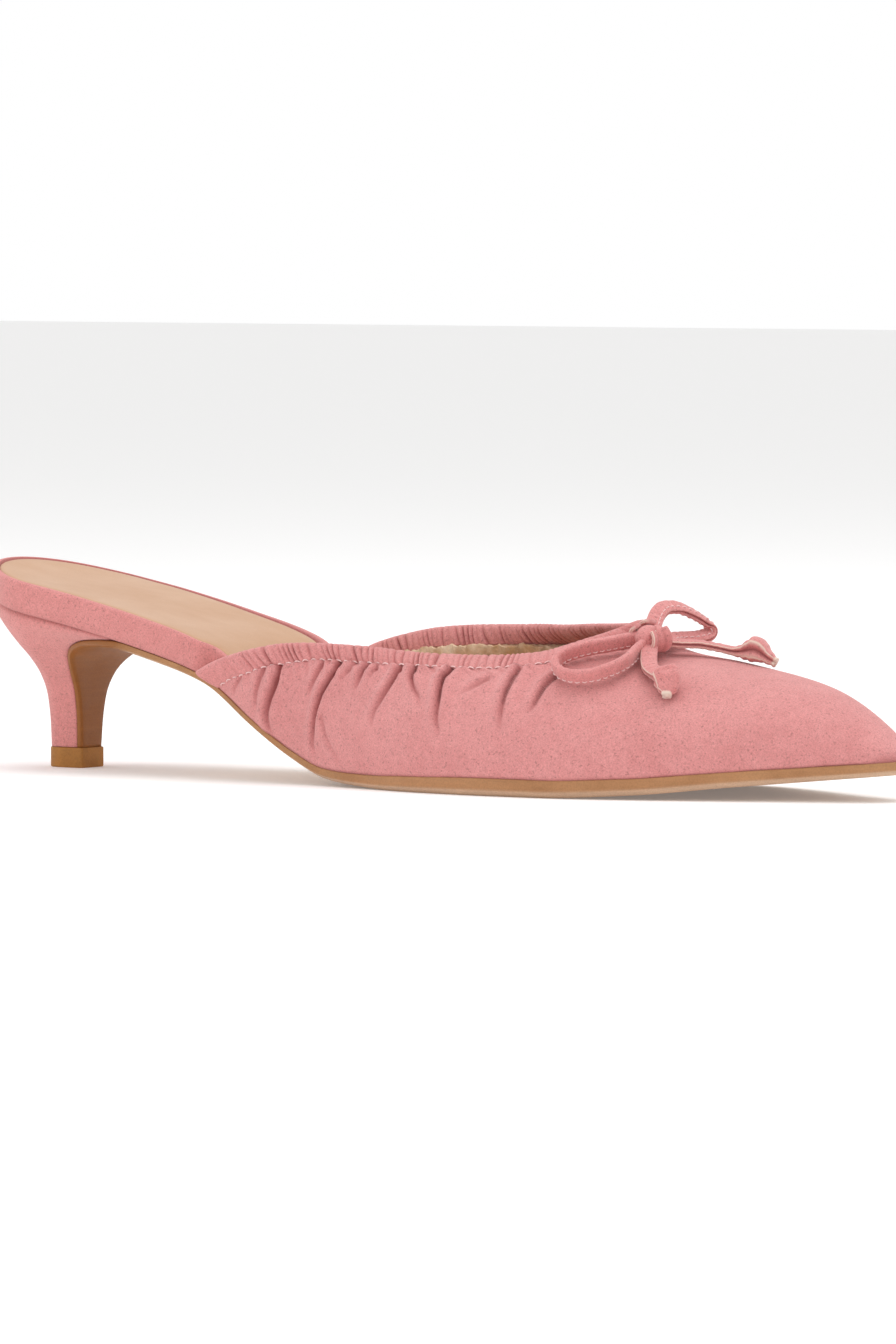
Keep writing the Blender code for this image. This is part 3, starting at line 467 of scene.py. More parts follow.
def suede(name, light, dark, nap=1.0, cream=None):
    """Napped suede: brushed patches of two tones, a fine short fibre, dark specks, and painted shade in its
    folds and gaps.
    """
    paint = Paint(name, 0.95, Specular_IOR_Level=0.12, Sheen_Weight=0.35, Sheen_Roughness=0.55,
                  Sheen_Tint=(1.0, 0.80, 0.78, 1.0))
    patch = paint.noise(75.0, 4.0, 0.6)
    brush = paint.noise(420.0, 3.0, 0.6)
    fibre = paint.noise(2700.0, 3.0, 0.75)
    speck = paint.noise(1700.0, 1.0, 0.5)
    tone = paint.sum("ADD", paint.between(patch, 0.3, 0.7, 0.0, 0.5), paint.between(brush, 0.3, 0.7, 0.0, 0.5))
    colour = paint.mix(tone, light, dark)
    colour = paint.shade(colour, paint.between(fibre, 0.32, 0.68, 0.79, 1.14))
    colour = paint.shade(colour, paint.between(speck, 0.60, 0.74, 1.0, 0.70))
    # Painted shade: where the mark is set (creases, ruche valleys, gaps between parts) the colour goes to a
    # deep shade of the dark tone.
    colour = paint.mix(paint.mark("crease"), colour, tuple(c * k for c, k in zip(dark, (0.50, 0.30, 0.30))))
    if cream is not None:
        colour = paint.mix(paint.mark("raw"), colour, cream)
    bumps = ((brush, 0.16 * nap, 0.0006), (fibre, 0.60 * nap, 0.00030), (speck, 0.25 * nap, 0.0003))
    return paint.finish(colour, bumps)


ROSE_LIGHT = (0.735, 0.312, 0.303)
ROSE_DARK = (0.640, 0.244, 0.237)
rose_suede = suede("rose_suede", ROSE_LIGHT, ROSE_DARK)
wrap_suede = suede("rose_suede_wrap", (0.720, 0.290, 0.275), (0.640, 0.235, 0.222), 0.8)

LEVELS = 120
FINE = 2401
rows = np.arange(len(HEEL_FORM), dtype=float)
along, height, width, away = breast_path(FINE)
level = np.linspace(0.0, rows[-1], FINE)
pick = np.clip(np.searchsorted(level, np.linspace(HEEL_TIP_ROW, rows[-1], LEVELS)), 0, FINE - 1)
heel_back = SEAT_LENGTH * smooth(rows, HEEL_FORM[:, 3], level[pick])
back_height = HEEL_RISE * smooth(rows, HEEL_FORM[:, 4], level[pick])
heel_front = along[pick] + away[pick, 0] * HAIR
front_height = height[pick] + away[pick, 1] * HAIR
turn = np.linspace(0.0, math.pi / 2, 40)
straight = 1.0 - HEEL_ROUND_SHARE
reach = np.concatenate([[0.0, 0.006, 0.02, 0.05], np.linspace(0.1, straight, 8)[:-1],
                        straight + HEEL_ROUND_SHARE * np.sin(turn)])
spread = np.concatenate([[0.93, 0.972, 0.99, 1.0], np.ones(7), np.cos(turn)])
fade = (np.clip(1.0 - np.arange(LEVELS) / (0.4 * LEVELS), 0.0, 1.0) ** 2)[:, None]
spot = heel_front[:, None] + (heel_back - heel_front)[:, None] * reach
line = front_height[:, None] + (back_height - front_height)[:, None] * reach
seat_front, seat_back = base_height(heel_front[:1])[0], base_height(heel_back[:1])[0]
ceiling = base_height(heel_front[0] + (heel_back[0] - heel_front[0]) * reach)
rise = line + fade * (ceiling - seat_front - (seat_back - seat_front) * reach)
rise[0] = base_height(spot[0])
half = width[pick][:, None] * spread
edge_limit = half_width(np.maximum(spot, 0.0003), -1)
half = np.where(np.arange(LEVELS)[:, None] < LEVELS // 3, np.minimum(half, edge_limit), half)
near = np.stack([spot, -half, rise], axis=-1)
far = np.stack([spot, half, rise], axis=-1)[:, ::-1]
heel_rings = np.concatenate([near, far[:, 1:]], axis=1)
heel_rings[-1, :, 2] = LIFT_HEIGHT + HAIR
heel = tube("heel_wrapped", heel_rings, [wrap_suede], crease=0.0)
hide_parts("heel")


# Top lift
# Tan rubber tip under the stem, flat in front and round behind, pinned up into the heel.

LIFT_OVERHANG = 0.0003
lift_front = SEAT_LENGTH * HEEL_FORM[-1, 0] + BREAST_THICKNESS + LIFT_OVERHANG
lift_back = SEAT_LENGTH * HEEL_FORM[-1, 3] - LIFT_OVERHANG
lift_half = SEAT_WIDTH * HEEL_FORM[-1, 2] + LIFT_OVERHANG
turn = np.linspace(0.0, math.pi, 72)
centre = lift_back + HEEL_ROUND_SHARE * (lift_front - lift_back)
corner = np.linspace(0.0, math.pi / 2, 6)
CORNER = 0.0006
corner_along = lift_front - CORNER + CORNER * np.cos(corner)
corner_across = lift_half - CORNER + CORNER * np.sin(corner)
along = np.concatenate([corner_along, centre - (centre - lift_back) * np.sin(turn), corner_along[::-1]])
across = np.concatenate([-corner_across, -lift_half * np.cos(turn), corner_across[::-1]])
# Height and inset of each level of the lift.
LIFT_ROWS = ((0.0, 0.00030), (0.00010, 0.00010), (0.00035, 0.0), (0.0025, 0.0), (0.0046, 0.0),
             (0.0048, 0.00008), (LIFT_HEIGHT, 0.00025))
mid = np.array([(lift_front + lift_back) / 2, 0.0])
plan = np.column_stack([along, across])
lift_rings = np.stack([np.column_stack([plan - unit(plan - mid) * inset, np.full(len(plan), z)])
                       for z, inset in LIFT_ROWS])
paint = Paint("lift_rubber", 0.6, Specular_IOR_Level=0.3)
grit = paint.noise(2200.0, 3.0)
wear = paint.noise(260.0, 3.0)
colour = paint.mix(paint.between(wear, 0.35, 0.7), (0.430, 0.190, 0.042), (0.345, 0.150, 0.034))
colour = paint.shade(colour, paint.between(grit, 0.3, 0.7, 0.88, 1.08))
lift_rubber = paint.finish(colour, ((grit, 0.3, 0.0001),))
lift = tube("top_lift_rubber", lift_rings, [lift_rubber])
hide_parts("top_lift")


# Insole board
# Stiff board with a thin foam, wrapped in the suede round its whole rim, which shows behind the upper.

BOARD_THICKNESS = 0.0074
BOARD_TOE_ROOM = 0.0320
BOARD_STEP = 0.0050
WAIST_AT = 0.088
WAIST_REACH = 0.034
WAIST_RIM = 0.0030
SOCK_THICKNESS = 0.0011
RIM_WIDTH = 0.0014
WALL = 0.0015
WALL_SLANT = 1.25
GAP = 0.0003
BOARD_SUBSTANCE = np.array(((0.00, 1.00), (0.38, 1.00), (0.60, 0.50), (1.00, 0.34)))
# Crest of the last: along, height as a share of the vamp's rise.
CREST = np.array((
    (0.26, 2.020), (0.32, 1.800), (0.40, 1.530), (0.48, 1.310), (0.56, 1.140), (0.635, 1.015),
    (0.715, 0.872), (0.755, 0.808), (0.797, 0.776), (0.853, 0.697), (0.895, 0.620), (0.938, 0.535),
    (0.967, 0.465), (1.000, 0.390)))
CREST_SIDE = np.array(((0.26, 0.00), (0.40, 0.35), (0.56, 1.00), (0.74, 1.00), (0.88, 0.70), (1.00, 0.05)))


def crest_rise(along):
    """Height of the last's crest above the feather line."""
    crest = VAMP_RISE * smooth(CREST[:, 0], CREST[:, 1], along / LENGTH)
    return (crest - base_height(along)) * toe_round(along)


def last_point(along, side, lift):
    """Quarter ellipse from crest (lift 1) to body width, drawn in to the sole's edge at lift 0."""
    lift = np.clip(lift, 0.0, 1.0)
    edge = np.where(side < 0, half_width(along, -1), half_width(along, 1))
    body = np.where(side < 0, half_width(along, -1, True), half_width(along, 1, True))
    shift = RIDGE_SHIFT * smooth(CREST_SIDE[:, 0], CREST_SIDE[:, 1], along / LENGTH) * toe_round(along)
    width = edge + (body - edge) * np.sin(np.clip(lift / 0.5, 0.0, 1.0) * math.pi / 2)
    across = shift + (side * width - shift) * np.sqrt(1.0 - lift ** 2)
    return np.stack([along + 0 * across, across, base_height(along) + crest_rise(along) * lift], axis=-1)


def board_thickness(along):
    return BOARD_THICKNESS * smooth(BOARD_SUBSTANCE[:, 0], BOARD_SUBSTANCE[:, 1], along / LENGTH)


UPPER_CORNER = {-1: 0.2915, 1: 0.3120}


def board_inset(along, side, height):
    """Inset of the board: none behind the upper, inside the upper's wall in front of it."""
    inside = ease((along - LENGTH * UPPER_CORNER[side] + 0.5 * BOARD_STEP) / BOARD_STEP)
    lift = np.clip((height + GAP) / np.maximum(crest_rise(along), GAP), 0.0, 1.0)
    lean = side * last_point(along, side, lift)[:, 1] - half_width(along, side)
    return inside * np.maximum(WALL * WALL_SLANT + 4 * GAP - lean, 0.0)


def far_rim(along, side):
    """Extra width of the wrapped rim, which shows as a pale band on the inner side of the waist."""
    return (side > 0) * WAIST_RIM * bell((along - WAIST_AT) / WAIST_REACH)


def board_profile(rows):
    """Plate rows from an extra inset in metres, a share of the board's height and a lift in metres."""
    return [(lambda at, side, e=e, s=s: e + (e >= RIM_WIDTH) * far_rim(at, side)
             + board_inset(at, side, GAP + s * board_thickness(at)),
             lambda at, s=s, l=l: base_height(at) + s * board_thickness(at) + l) for e, s, l in rows]


board_run = LENGTH * (1 - np.cos(np.linspace(0.0, math.pi, 420))) / 2
board_run = np.append(board_run[board_run < LENGTH - BOARD_TOE_ROOM - GAP], LENGTH - BOARD_TOE_ROOM)
turn = np.linspace(0.0, math.pi / 2, 6)
RIM_ROUND = 0.0011
rim_rows = [(0.0009, 0.0, 0.00005), (0.0003, 0.0, 0.0001), (0.0, 0.0, 0.0005), (-0.00015, 0.35, 0.0),
            (-0.00015, 0.65, 0.0)]
rim_rows += [(RIM_ROUND * (1 - math.cos(a)), 1.0, RIM_ROUND * (math.sin(a) - 1) + 0.0003) for a in turn]
rim_rows += [(RIM_WIDTH, 1.0, 0.0002), (RIM_WIDTH + 0.0001, 1.0, -SOCK_THICKNESS)]
board_rings = plate_rings(board_run, board_profile(rim_rows))
# Painted shade at the foot of the rim and in the gap under the sock's edge.
crease = np.array([0.9, 0.6, 0.1] + [0.0] * (len(rim_rows) - 5) + [0.5, 1.0])
board = tube("insole_board_wrapped", board_rings, [wrap_suede], first=False,
             crease=np.concatenate([crease, crease[::-1]])[None, :])
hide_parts("insole_board")


# Sock
# Beige lining leather over a thin foam, cemented into the board's recess and ending under the toes.

# Inset from the board's rim and lift above the board.
SOCK_ROWS = ((0.0, -0.0010), (-0.0001, -0.0004), (0.0002, -0.0001), (0.0006, 0.0001), (0.0014, 0.0002),
             (0.0040, 0.0001), (0.0080, 0.0000), (0.0120, -0.0001))
SOCK_EASE = 0.0004
SOCK_END = 0.2050
NARROWING = 0.1


def sock_profile(rows):
    """Board profile whose insets shrink where the sock is narrow."""
    rows = [(RIM_WIDTH + SOCK_EASE + inset, lift) for inset, lift in rows]
    return [(lambda at, side, e=e: np.where(at < NARROWING, e, np.minimum(e, 0.6 * half_width(at, side)))
             + far_rim(at, side) + board_inset(at, side, GAP + board_thickness(at)),
             lambda at, l=l: base_height(at) + board_thickness(at) + l) for e, l in rows]


sock_rings = plate_rings(board_run[board_run < SOCK_END], sock_profile(SOCK_ROWS))
paint = Paint("sock_leather", 0.45, Specular_IOR_Level=0.4, Sheen_Weight=0.15)
grain = paint.noise(900.0, 4.0, 0.6)
cloud = paint.noise(60.0, 3.0)
fine = paint.noise(2600.0, 2.0)
colour = paint.mix(paint.between(cloud, 0.3, 0.7), (0.570, 0.324, 0.178), (0.520, 0.284, 0.150))
colour = paint.shade(colour, paint.between(fine, 0.3, 0.7, 0.95, 1.04))
sock_leather = paint.finish(colour, ((grain, 0.12, 0.0002), (fine, 0.15, 0.00006)),
                            paint.between(cloud, 0.3, 0.7, 0.38, 0.52))
sock = tube("sock_lining", sock_rings, [sock_leather], first=False)
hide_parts("sock")


# Upper
# One piece of suede lasted over the foot and lined with beige leather. The elastic in its casing
# pulls it into soft creases that run down from the topline on both sides.

# Topline from the outer rear corner round the throat to the inner rear corner:
# seam along, seam height, edge along, edge height, edge across.
TOPLINE = np.array((
    (0.3120, 0.550, 0.2915, 0.650, -0.742), (0.3275, 0.600, 0.3130, 0.712, -0.757),
    (0.3490, 0.640, 0.3330, 0.755, -0.760), (0.3740, 0.690, 0.3610, 0.800, -0.755),
    (0.4015, 0.718, 0.3935, 0.833, -0.742), (0.4335, 0.742, 0.4265, 0.841, -0.728),
    (0.4950, 0.734, 0.4890, 0.822, -0.702), (0.5570, 0.730, 0.5500, 0.786, -0.664),
    (0.6130, 0.726, 0.6050, 0.783, -0.602), (0.6600, 0.752, 0.6480, 0.802, -0.490),
    (0.6980, 0.806, 0.6810, 0.880, -0.320), (0.7230, 0.846, 0.7010, 0.948, -0.140),
    (0.7370, 0.872, 0.7095, 0.998, 0.045), (0.7270, 0.876, 0.7030, 0.982, 0.160),
    (0.6980, 0.878, 0.6760, 0.956, 0.250), (0.6500, 0.862, 0.6350, 0.940, 0.345),
    (0.5850, 0.838, 0.5750, 0.922, 0.505), (0.5150, 0.818, 0.5080, 0.920, 0.630),
    (0.4400, 0.790, 0.4320, 0.890, 0.687), (0.3980, 0.738, 0.3890, 0.842, 0.692),
    (0.3640, 0.664, 0.3520, 0.776, 0.684), (0.3430, 0.590, 0.3300, 0.705, 0.672),
    (0.3260, 0.520, 0.3120, 0.630, 0.655)))
THROAT_ROW = int(np.argmax(TOPLINE[:, 0]))


def topline(count):
    """Seam points on the last and edge points of the casing, evenly spaced along the seam."""
    rows = np.arange(len(TOPLINE), dtype=float)
    fine = np.linspace(0.0, rows[-1], FINE)
    seam_along = LENGTH * smooth(rows, TOPLINE[:, 0], fine)
    seam_height = VAMP_RISE * smooth(rows, TOPLINE[:, 1], fine)
    side = np.where(fine < THROAT_ROW, -1.0, 1.0)
    lift = np.clip((seam_height - base_height(seam_along)) / crest_rise(seam_along), 0.0, 1.0)
    near_crest = np.clip(np.abs(fine - THROAT_ROW) / 1.3, 0.0, 1.0)
    lift = lift + (1.0 - lift) * (1.0 - near_crest) ** 2
    seam = last_point(seam_along, side, lift)
    edge = np.stack([LENGTH * smooth(rows, TOPLINE[:, 2], fine),
                     BALL_WIDTH / 2 * smooth(rows, TOPLINE[:, 4], fine),
                     VAMP_RISE * smooth(rows, TOPLINE[:, 3], fine)], axis=-1)
    run = np.concatenate([[0.0], np.cumsum(np.linalg.norm(np.diff(seam, axis=0), axis=1))])
    at = np.interp(np.linspace(0.0, run[-1], count), run, fine)
    seam_at = np.stack([np.interp(at, fine, seam[:, k]) for k in range(3)], axis=-1)
    edge_at = np.stack([np.interp(at, fine, edge[:, k]) for k in range(3)], axis=-1)
    return seam_at, edge_at, np.interp(at, fine, lift), np.where(at < THROAT_ROW, -1.0, 1.0), run[-1]


def half_girth(along):
    return 0.62 * (crest_rise(along) + half_width(along, -1, True))


def upper_grid(columns, rows):
    """Straight lines on the flattened last from the feather to the seam; rows go up, columns round the toe."""
    seam, edge, lift, side, _ = topline(columns)
    spread = np.linspace(-1.0, 1.0, columns)
    fan = 1.0 - np.abs(spread)
    reach = 0.68 * fan + 1.04 * fan ** 2 - 0.72 * fan ** 3
    foot = np.zeros(columns)
    for way in (-1, 1):
        corner = (seam[0, 0] if way < 0 else seam[-1, 0]) - 0.0010
        fine = corner + (LENGTH - corner) * np.sin(np.linspace(0.0, math.pi / 2, FINE))
        path = np.column_stack([fine, half_width(fine, way)])
        run = np.concatenate([[0.0], np.cumsum(np.linalg.norm(np.diff(path, axis=0), axis=1))])
        mine = spread <= 0 if way < 0 else spread > 0
        foot[mine] = np.interp(reach[mine] * run[-1], run, fine)
    foot[np.argmin(np.abs(spread))] = LENGTH
    top = side * (1.0 - np.arcsin(lift) / (math.pi / 2)) * half_girth(seam[:, 0])
    bottom = np.where(spread < 0, -1.0, 1.0) * half_girth(foot)
    bottom = np.where(np.abs(spread) < 1e-9, 0.0, bottom)
    t = np.linspace(0.0, 1.0, rows)[:, None]
    along = foot + (seam[:, 0] - foot) * t
    flat = bottom + (top - bottom) * t
    share = np.clip(flat / np.maximum(half_girth(along), 1e-9), -1.0, 1.0)
    grid = last_point(along, np.where(share < 0, -1.0, 1.0), np.sin((1.0 - np.abs(share)) * math.pi / 2))
    grid[-1] = seam
    return grid


def sheet_normals(grid, centre):
    """Unit normals of a grid, pointing away from centre."""
    normal = unit(np.cross(np.gradient(grid, axis=1), np.gradient(grid, axis=0)))
    return normal * np.sign(np.sum(normal * (grid - centre), axis=-1, keepdims=True))


# Creases: side, depth, half width and puff in millimetres, then along and height down from the seam.
CREASES = (
    (-1, 1.00, 0.75, 0.62, ((98.3, 29.3), (98.0, 26.8), (96.8, 23.0), (95.3, 19.6), (94.4, 16.0), (94.9, 13.2),
                            (96.6, 11.0))),
    (-1, 0.95, 0.62, 0.50, ((115.2, 29.3), (113.0, 25.1), (111.0, 21.6), (109.8, 17.8), (108.8, 13.7),
                            (108.5, 10.2), (109.6, 6.6))),
    (-1, 0.25, 0.70, 0.18, ((111.6, 16.4), (112.8, 12.6), (114.9, 9.2), (117.8, 6.0))),
    (-1, 0.42, 0.60, 0.30, ((94.3, 28.3), (92.4, 24.0), (91.5, 20.4), (91.6, 16.5))),
    (-1, 0.30, 0.60, 0.22, ((86.8, 25.0), (84.9, 22.8), (83.6, 20.0))),
    (-1, 0.50, 0.55, 0.35, ((110.4, 29.4), (109.2, 26.5), (108.0, 23.6), (107.4, 21.6))),
    (-1, 0.35, 0.55, 0.30, ((119.9, 29.3), (118.0, 27.0), (116.0, 24.8))),
    (-1, 0.62, 0.60, 0.42, ((124.2, 29.4), (122.4, 27.3), (122.0, 25.0), (121.2, 22.6))),
    (-1, 0.42, 0.55, 0.28, ((127.0, 29.2), (125.8, 27.4), (125.2, 26.0))),
    (-1, 0.70, 0.72, 0.50, ((133.4, 29.3), (132.5, 26.7), (131.2, 23.7), (130.0, 21.2), (128.4, 17.6),
                            (128.2, 14.8))),
    (-1, 0.66, 0.62, 0.45, ((137.4, 29.2), (137.3, 26.9), (138.8, 24.4), (141.0, 22.4), (142.6, 20.0))),
    (-1, 1.05, 0.70, 0.66, ((147.6, 29.0), (146.1, 26.2), (146.9, 21.8), (147.6, 17.4), (149.6, 13.0))),
    (-1, 0.34, 0.80, 0.26, ((158.0, 26.6), (154.8, 24.7), (151.4, 22.8))),
    (-1, 0.72, 0.70, 0.55, ((164.0, 29.2), (163.9, 24.4), (164.7, 19.3), (165.7, 14.6))),
    (-1, 0.74, 0.72, 0.48, ((174.2, 28.6), (172.3, 25.4), (172.0, 21.6), (171.2, 19.0))),
    (1, 0.80, 0.75, 0.50, ((96.0, 28.0), (94.6, 22.0), (94.0, 16.0), (95.5, 11.5))),
    (1, 0.50, 0.60, 0.35, ((104.5, 30.0), (103.2, 25.0), (102.6, 20.5))),
    (1, 0.90, 0.65, 0.55, ((113.5, 31.0), (111.5, 24.5), (110.4, 17.0), (111.5, 10.0))),
    (1, 0.45, 0.60, 0.35, ((121.0, 31.5), (120.0, 27.0), (118.6, 23.5))),
    (1, 0.75, 0.70, 0.50, ((131.0, 32.0), (129.6, 26.0), (129.0, 19.0))),
    (1, 0.55, 0.60, 0.40, ((139.0, 32.5), (139.4, 28.0), (141.0, 24.0))),
    (1, 0.90, 0.70, 0.55, ((149.5, 33.0), (149.0, 26.0), (150.6, 18.0))),
    (1, 0.55, 0.70, 0.40, ((161.5, 33.5), (161.6, 28.0), (163.0, 22.5))),
    (1, 0.50, 0.70, 0.38, ((172.5, 34.0), (171.6, 29.5), (171.2, 25.5))))
MM = 0.001
# Shares of a crease's own depth, puff and half width that its trough and its two banks take.
TROUGH_DEPTH = 1.55
TROUGH_WIDTH = 0.80
HEEL_BANK = 1.7
TOE_BANK = 0.7


def crease_field(points, sides):
    """Outward shift and painted-shade mark of each point: a narrow trough with a puffed bank on its heel side,
    the trough darkened as painted shade.
    """
    shift = np.zeros(len(points))
    mark = np.zeros(len(points))
    for side, depth, narrow, puff, rows in CREASES:
        table = np.array(rows) * MM
        down = np.linspace(0.0, 1.0, 60)
        stop = np.linspace(0.0, 1.0, len(table))
        along = smooth(stop, table[:, 0], down)
        height = smooth(stop, table[:, 1], down)
        lift = np.clip((height - base_height(along)) / crest_rise(along), 0.0, 0.999)
        path = last_point(along, float(side), lift)
        reach = 9.0 * MM
        mine = np.flatnonzero((sides == side) & (points[:, 0] > along.min() - reach)
                              & (points[:, 0] < along.max() + reach))
        off = points[mine, None] - path[None]
        far = np.linalg.norm(off, axis=2)
        nearest = np.argmin(far, axis=1)
        run = unit(np.gradient(path[:, (0, 2)], axis=0))
        across = np.stack([-run[:, 1], run[:, 0]], axis=-1)
        across *= np.sign(across[:, :1])
        gap = off[np.arange(len(mine)), nearest]
        way = np.sign(np.sum(gap[:, (0, 2)] * across[nearest], axis=1))
        signed = way * far[np.arange(len(mine)), nearest] / MM
        taper = (1.0 - down[nearest] ** 2.2)
        wide = max(narrow, 0.6)
        narrow = TROUGH_WIDTH * narrow
        shift[mine] += taper * MM * (-TROUGH_DEPTH * depth * bell(signed / narrow)
                                     + HEEL_BANK * puff * bell((signed + 2.1 * wide) / (1.8 * wide))
                                     + TOE_BANK * puff * bell((signed - 2.6 * wide) / (2.4 * wide)))
        # Painted shade along the trough of each crease.
        mark[mine] += taper * min(1.0, 1.2 * depth) * bell((signed + 0.1) / narrow)
    return shift, np.clip(mark, 0.0, 1.0)


COLUMNS = 760
ROWS = 74
LINING_ROWS = 12
# Ripples just below the seam, where the elastic pulls.
RIPPLE = 0.46 * MM
RIPPLE_REACH = 3.4 * MM
# The toe is fuller behind its tip and rounder at the tip than the plain last, above the toe cap's foot.
FULL_AT = 0.2270
FULL_REACH = 0.0150
FULLNESS = 1.7 * MM
TIP_AT = 0.2530
TIP_REACH = 0.0075
TIP_TRIM = 2.6 * MM
TOE_FOOT = 0.0095
outer = upper_grid(COLUMNS, ROWS)
normal = sheet_normals(outer, np.array([0.62 * LENGTH, 0.0, 0.010]))
toe_full = (FULLNESS * bell((outer[..., 0] - FULL_AT) / FULL_REACH)
            - TIP_TRIM * bell((outer[..., 0] - TIP_AT) / TIP_REACH))
outer = outer + normal * (toe_full * ease((outer[..., 2] - TOE_FOOT) / TOE_FOOT))[..., None]
seam, edge, lift, side, seam_run = topline(COLUMNS)
seam_at = np.linspace(0.0, seam_run, COLUMNS)
sides = np.where(outer[..., 1] < RIDGE_SHIFT * 0.8, -1, 1)
shift, crease = crease_field(outer.reshape(-1, 3), sides.ravel())
shift, crease = shift.reshape(ROWS, COLUMNS), crease.reshape(ROWS, COLUMNS)
below_seam = np.linalg.norm(outer - seam[None], axis=2)
pulled = ease((seam_run * 0.5 - np.abs(seam_at - seam_run * 0.5) - 0.004) / 0.012) * (
    1 - 0.75 * bell((seam_at - seam_run * 0.5) / 0.030))
wobble = (np.sin(seam_at / MM * 1.55 + 0.9 * np.sin(seam_at / MM * 0.37)) * 0.6
          + np.sin(seam_at / MM * 2.6 + 1.7 * np.sin(seam_at / MM * 0.23)) * 0.4)
shift += RIPPLE * pulled * wobble * bell(below_seam / RIPPLE_REACH)
soft = (np.sin(outer[..., 0] * 260 + 2.0 * np.sin(outer[..., 2] * 190))
        * np.sin(outer[..., 2] * 210 + outer[..., 0] * 90))
shift += 0.10 * MM * soft * ease((below_seam - 1.0 * MM) / (6.0 * MM))
tuck = bell((outer[..., 2] - base_height(outer[..., 0])) / (0.55 * MM))
skin = outer + normal * (shift - 0.35 * MM * tuck)[..., None]
skin[0, :, 2] -= 0.15 * MM
inner_pick = np.round(np.linspace(ROWS - 1, 0, LINING_ROWS)).astype(int)
lining_skin = (outer - normal * WALL + normal * (0.55 * np.minimum(shift, 0.0))[..., None])[inner_pick]
shell = np.concatenate([skin, lining_skin], axis=0)
total = ROWS + LINING_ROWS
cell = np.arange(total)[:, None] * COLUMNS + np.arange(COLUMNS - 1)[None, :]
below = cell
above = np.roll(cell, -1, axis=0)
upper_faces = np.stack([below, below + 1, above + 1, above], axis=-1).reshape(-1, 4).tolist()
ends = [[row * COLUMNS for row in range(total)][::-1], [row * COLUMNS + COLUMNS - 1 for row in range(total)]]
slots = np.concatenate([np.repeat(np.where(np.arange(total) < ROWS, 0, 1), COLUMNS - 1), [0, 0]])


def lining_leather(name, light, dark):
    """Soft beige lining: fine pebble, a little gloss, and darker patches at random."""
    paint = Paint(name, 0.6, Specular_IOR_Level=0.3)
    grain = paint.noise(1500.0, 3.0)
    cloud = paint.noise(180.0, 3.0)
    colour = paint.mix(paint.between(cloud, 0.3, 0.7), light, dark)
    colour = paint.shade(colour, paint.between(grain, 0.3, 0.7, 0.85, 1.1))
    return paint.finish(colour, ((grain, 0.3, 0.0002),))


beige_lining = lining_leather("beige_lining", (0.88, 0.60, 0.42), (0.70, 0.44, 0.27))
# Painted shade: the upper is darkened in its creases and in a thin band along the feather line, where it meets
# the sole.
marks = np.concatenate([crease + 0.55 * bell((outer[..., 2] - base_height(outer[..., 0])) / (0.35 * MM)),
                        np.zeros((LINING_ROWS, COLUMNS))], axis=0)
upper = build("upper_suede", shell, upper_faces + ends, [rose_suede, beige_lining], slots.astype(np.int32),
              crease=np.clip(marks, 0.0, 1.0))
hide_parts("upper")


# Collar casing
# A strip of the same suede folded over flat elastic and sewn on along the topline. The elastic
# gathers it into fine ruches, close together over the sides and nearly smooth at the throat.

CASING_THICKNESS = 0.0027
RUCHE_PITCH = 1.70
RUCHE_SWELL = 0.22 * MM
RUCHE_DEPTH = 1.08 * MM
STATIONS = 1500
seam, edge, lift, side, seam_run = topline(STATIONS)
along_run = unit(np.gradient(seam + edge, axis=0))
outward = unit(np.cross(along_run, edge - seam))
outward = outward * np.sign(outward[:, 2:] + 0.5 * (outward[:, 1:2] * side[:, None]))
seam_normal = unit(np.cross(np.gradient(seam, axis=0), seam - last_point(seam[:, 0], side, lift - 0.02)))
seam_normal = seam_normal * np.sign(np.sum(seam_normal * outward, axis=1, keepdims=True))
kernel = np.hanning(41) / np.hanning(41).sum()


def even(vectors):
    """Vectors averaged along the seam, so that they turn gently."""
    padded = np.pad(vectors, ((20, 20), (0, 0)), mode="edge")
    return unit(np.stack([np.convolve(padded[:, k], kernel, mode="valid") for k in range(3)], axis=-1))


outward, seam_normal = even(outward), even(seam_normal)
run_mm = np.linspace(0.0, seam_run, STATIONS) / MM
total_mm = seam_run / MM
to_end = np.minimum(run_mm, total_mm - run_mm)
from_throat = np.abs(run_mm - total_mm / 2)
gather = ease((to_end - 5.0) / 12.0) * (0.35 + 0.65 * ease((from_throat - 22.0) / 26.0))
gather = gather * (0.80 + 0.20 * np.sin(run_mm * 0.31 + 1.0))
phase = math.pi * run_mm / RUCHE_PITCH + 1.1 * np.sin(run_mm * 0.52) + 0.8 * np.sin(run_mm * 0.193 + 2.0)
strength = 0.62 + 0.38 * np.sin(run_mm * 1.07 + 1.3 * np.sin(run_mm * 0.41))
swell_rows = np.array(((0.0, 0.05), (0.10, 0.35), (0.30, 0.85), (0.55, 1.0), (0.80, 0.85), (1.0, 0.55)))
levels = np.array([0.0, 0.05, 0.12, 0.20, 0.30, 0.42, 0.54, 0.66, 0.77, 0.86, 0.93, 0.975])
full = (CASING_THICKNESS - WALL) / 2
outside, inside, outside_shade, inside_shade = [], [], [], []
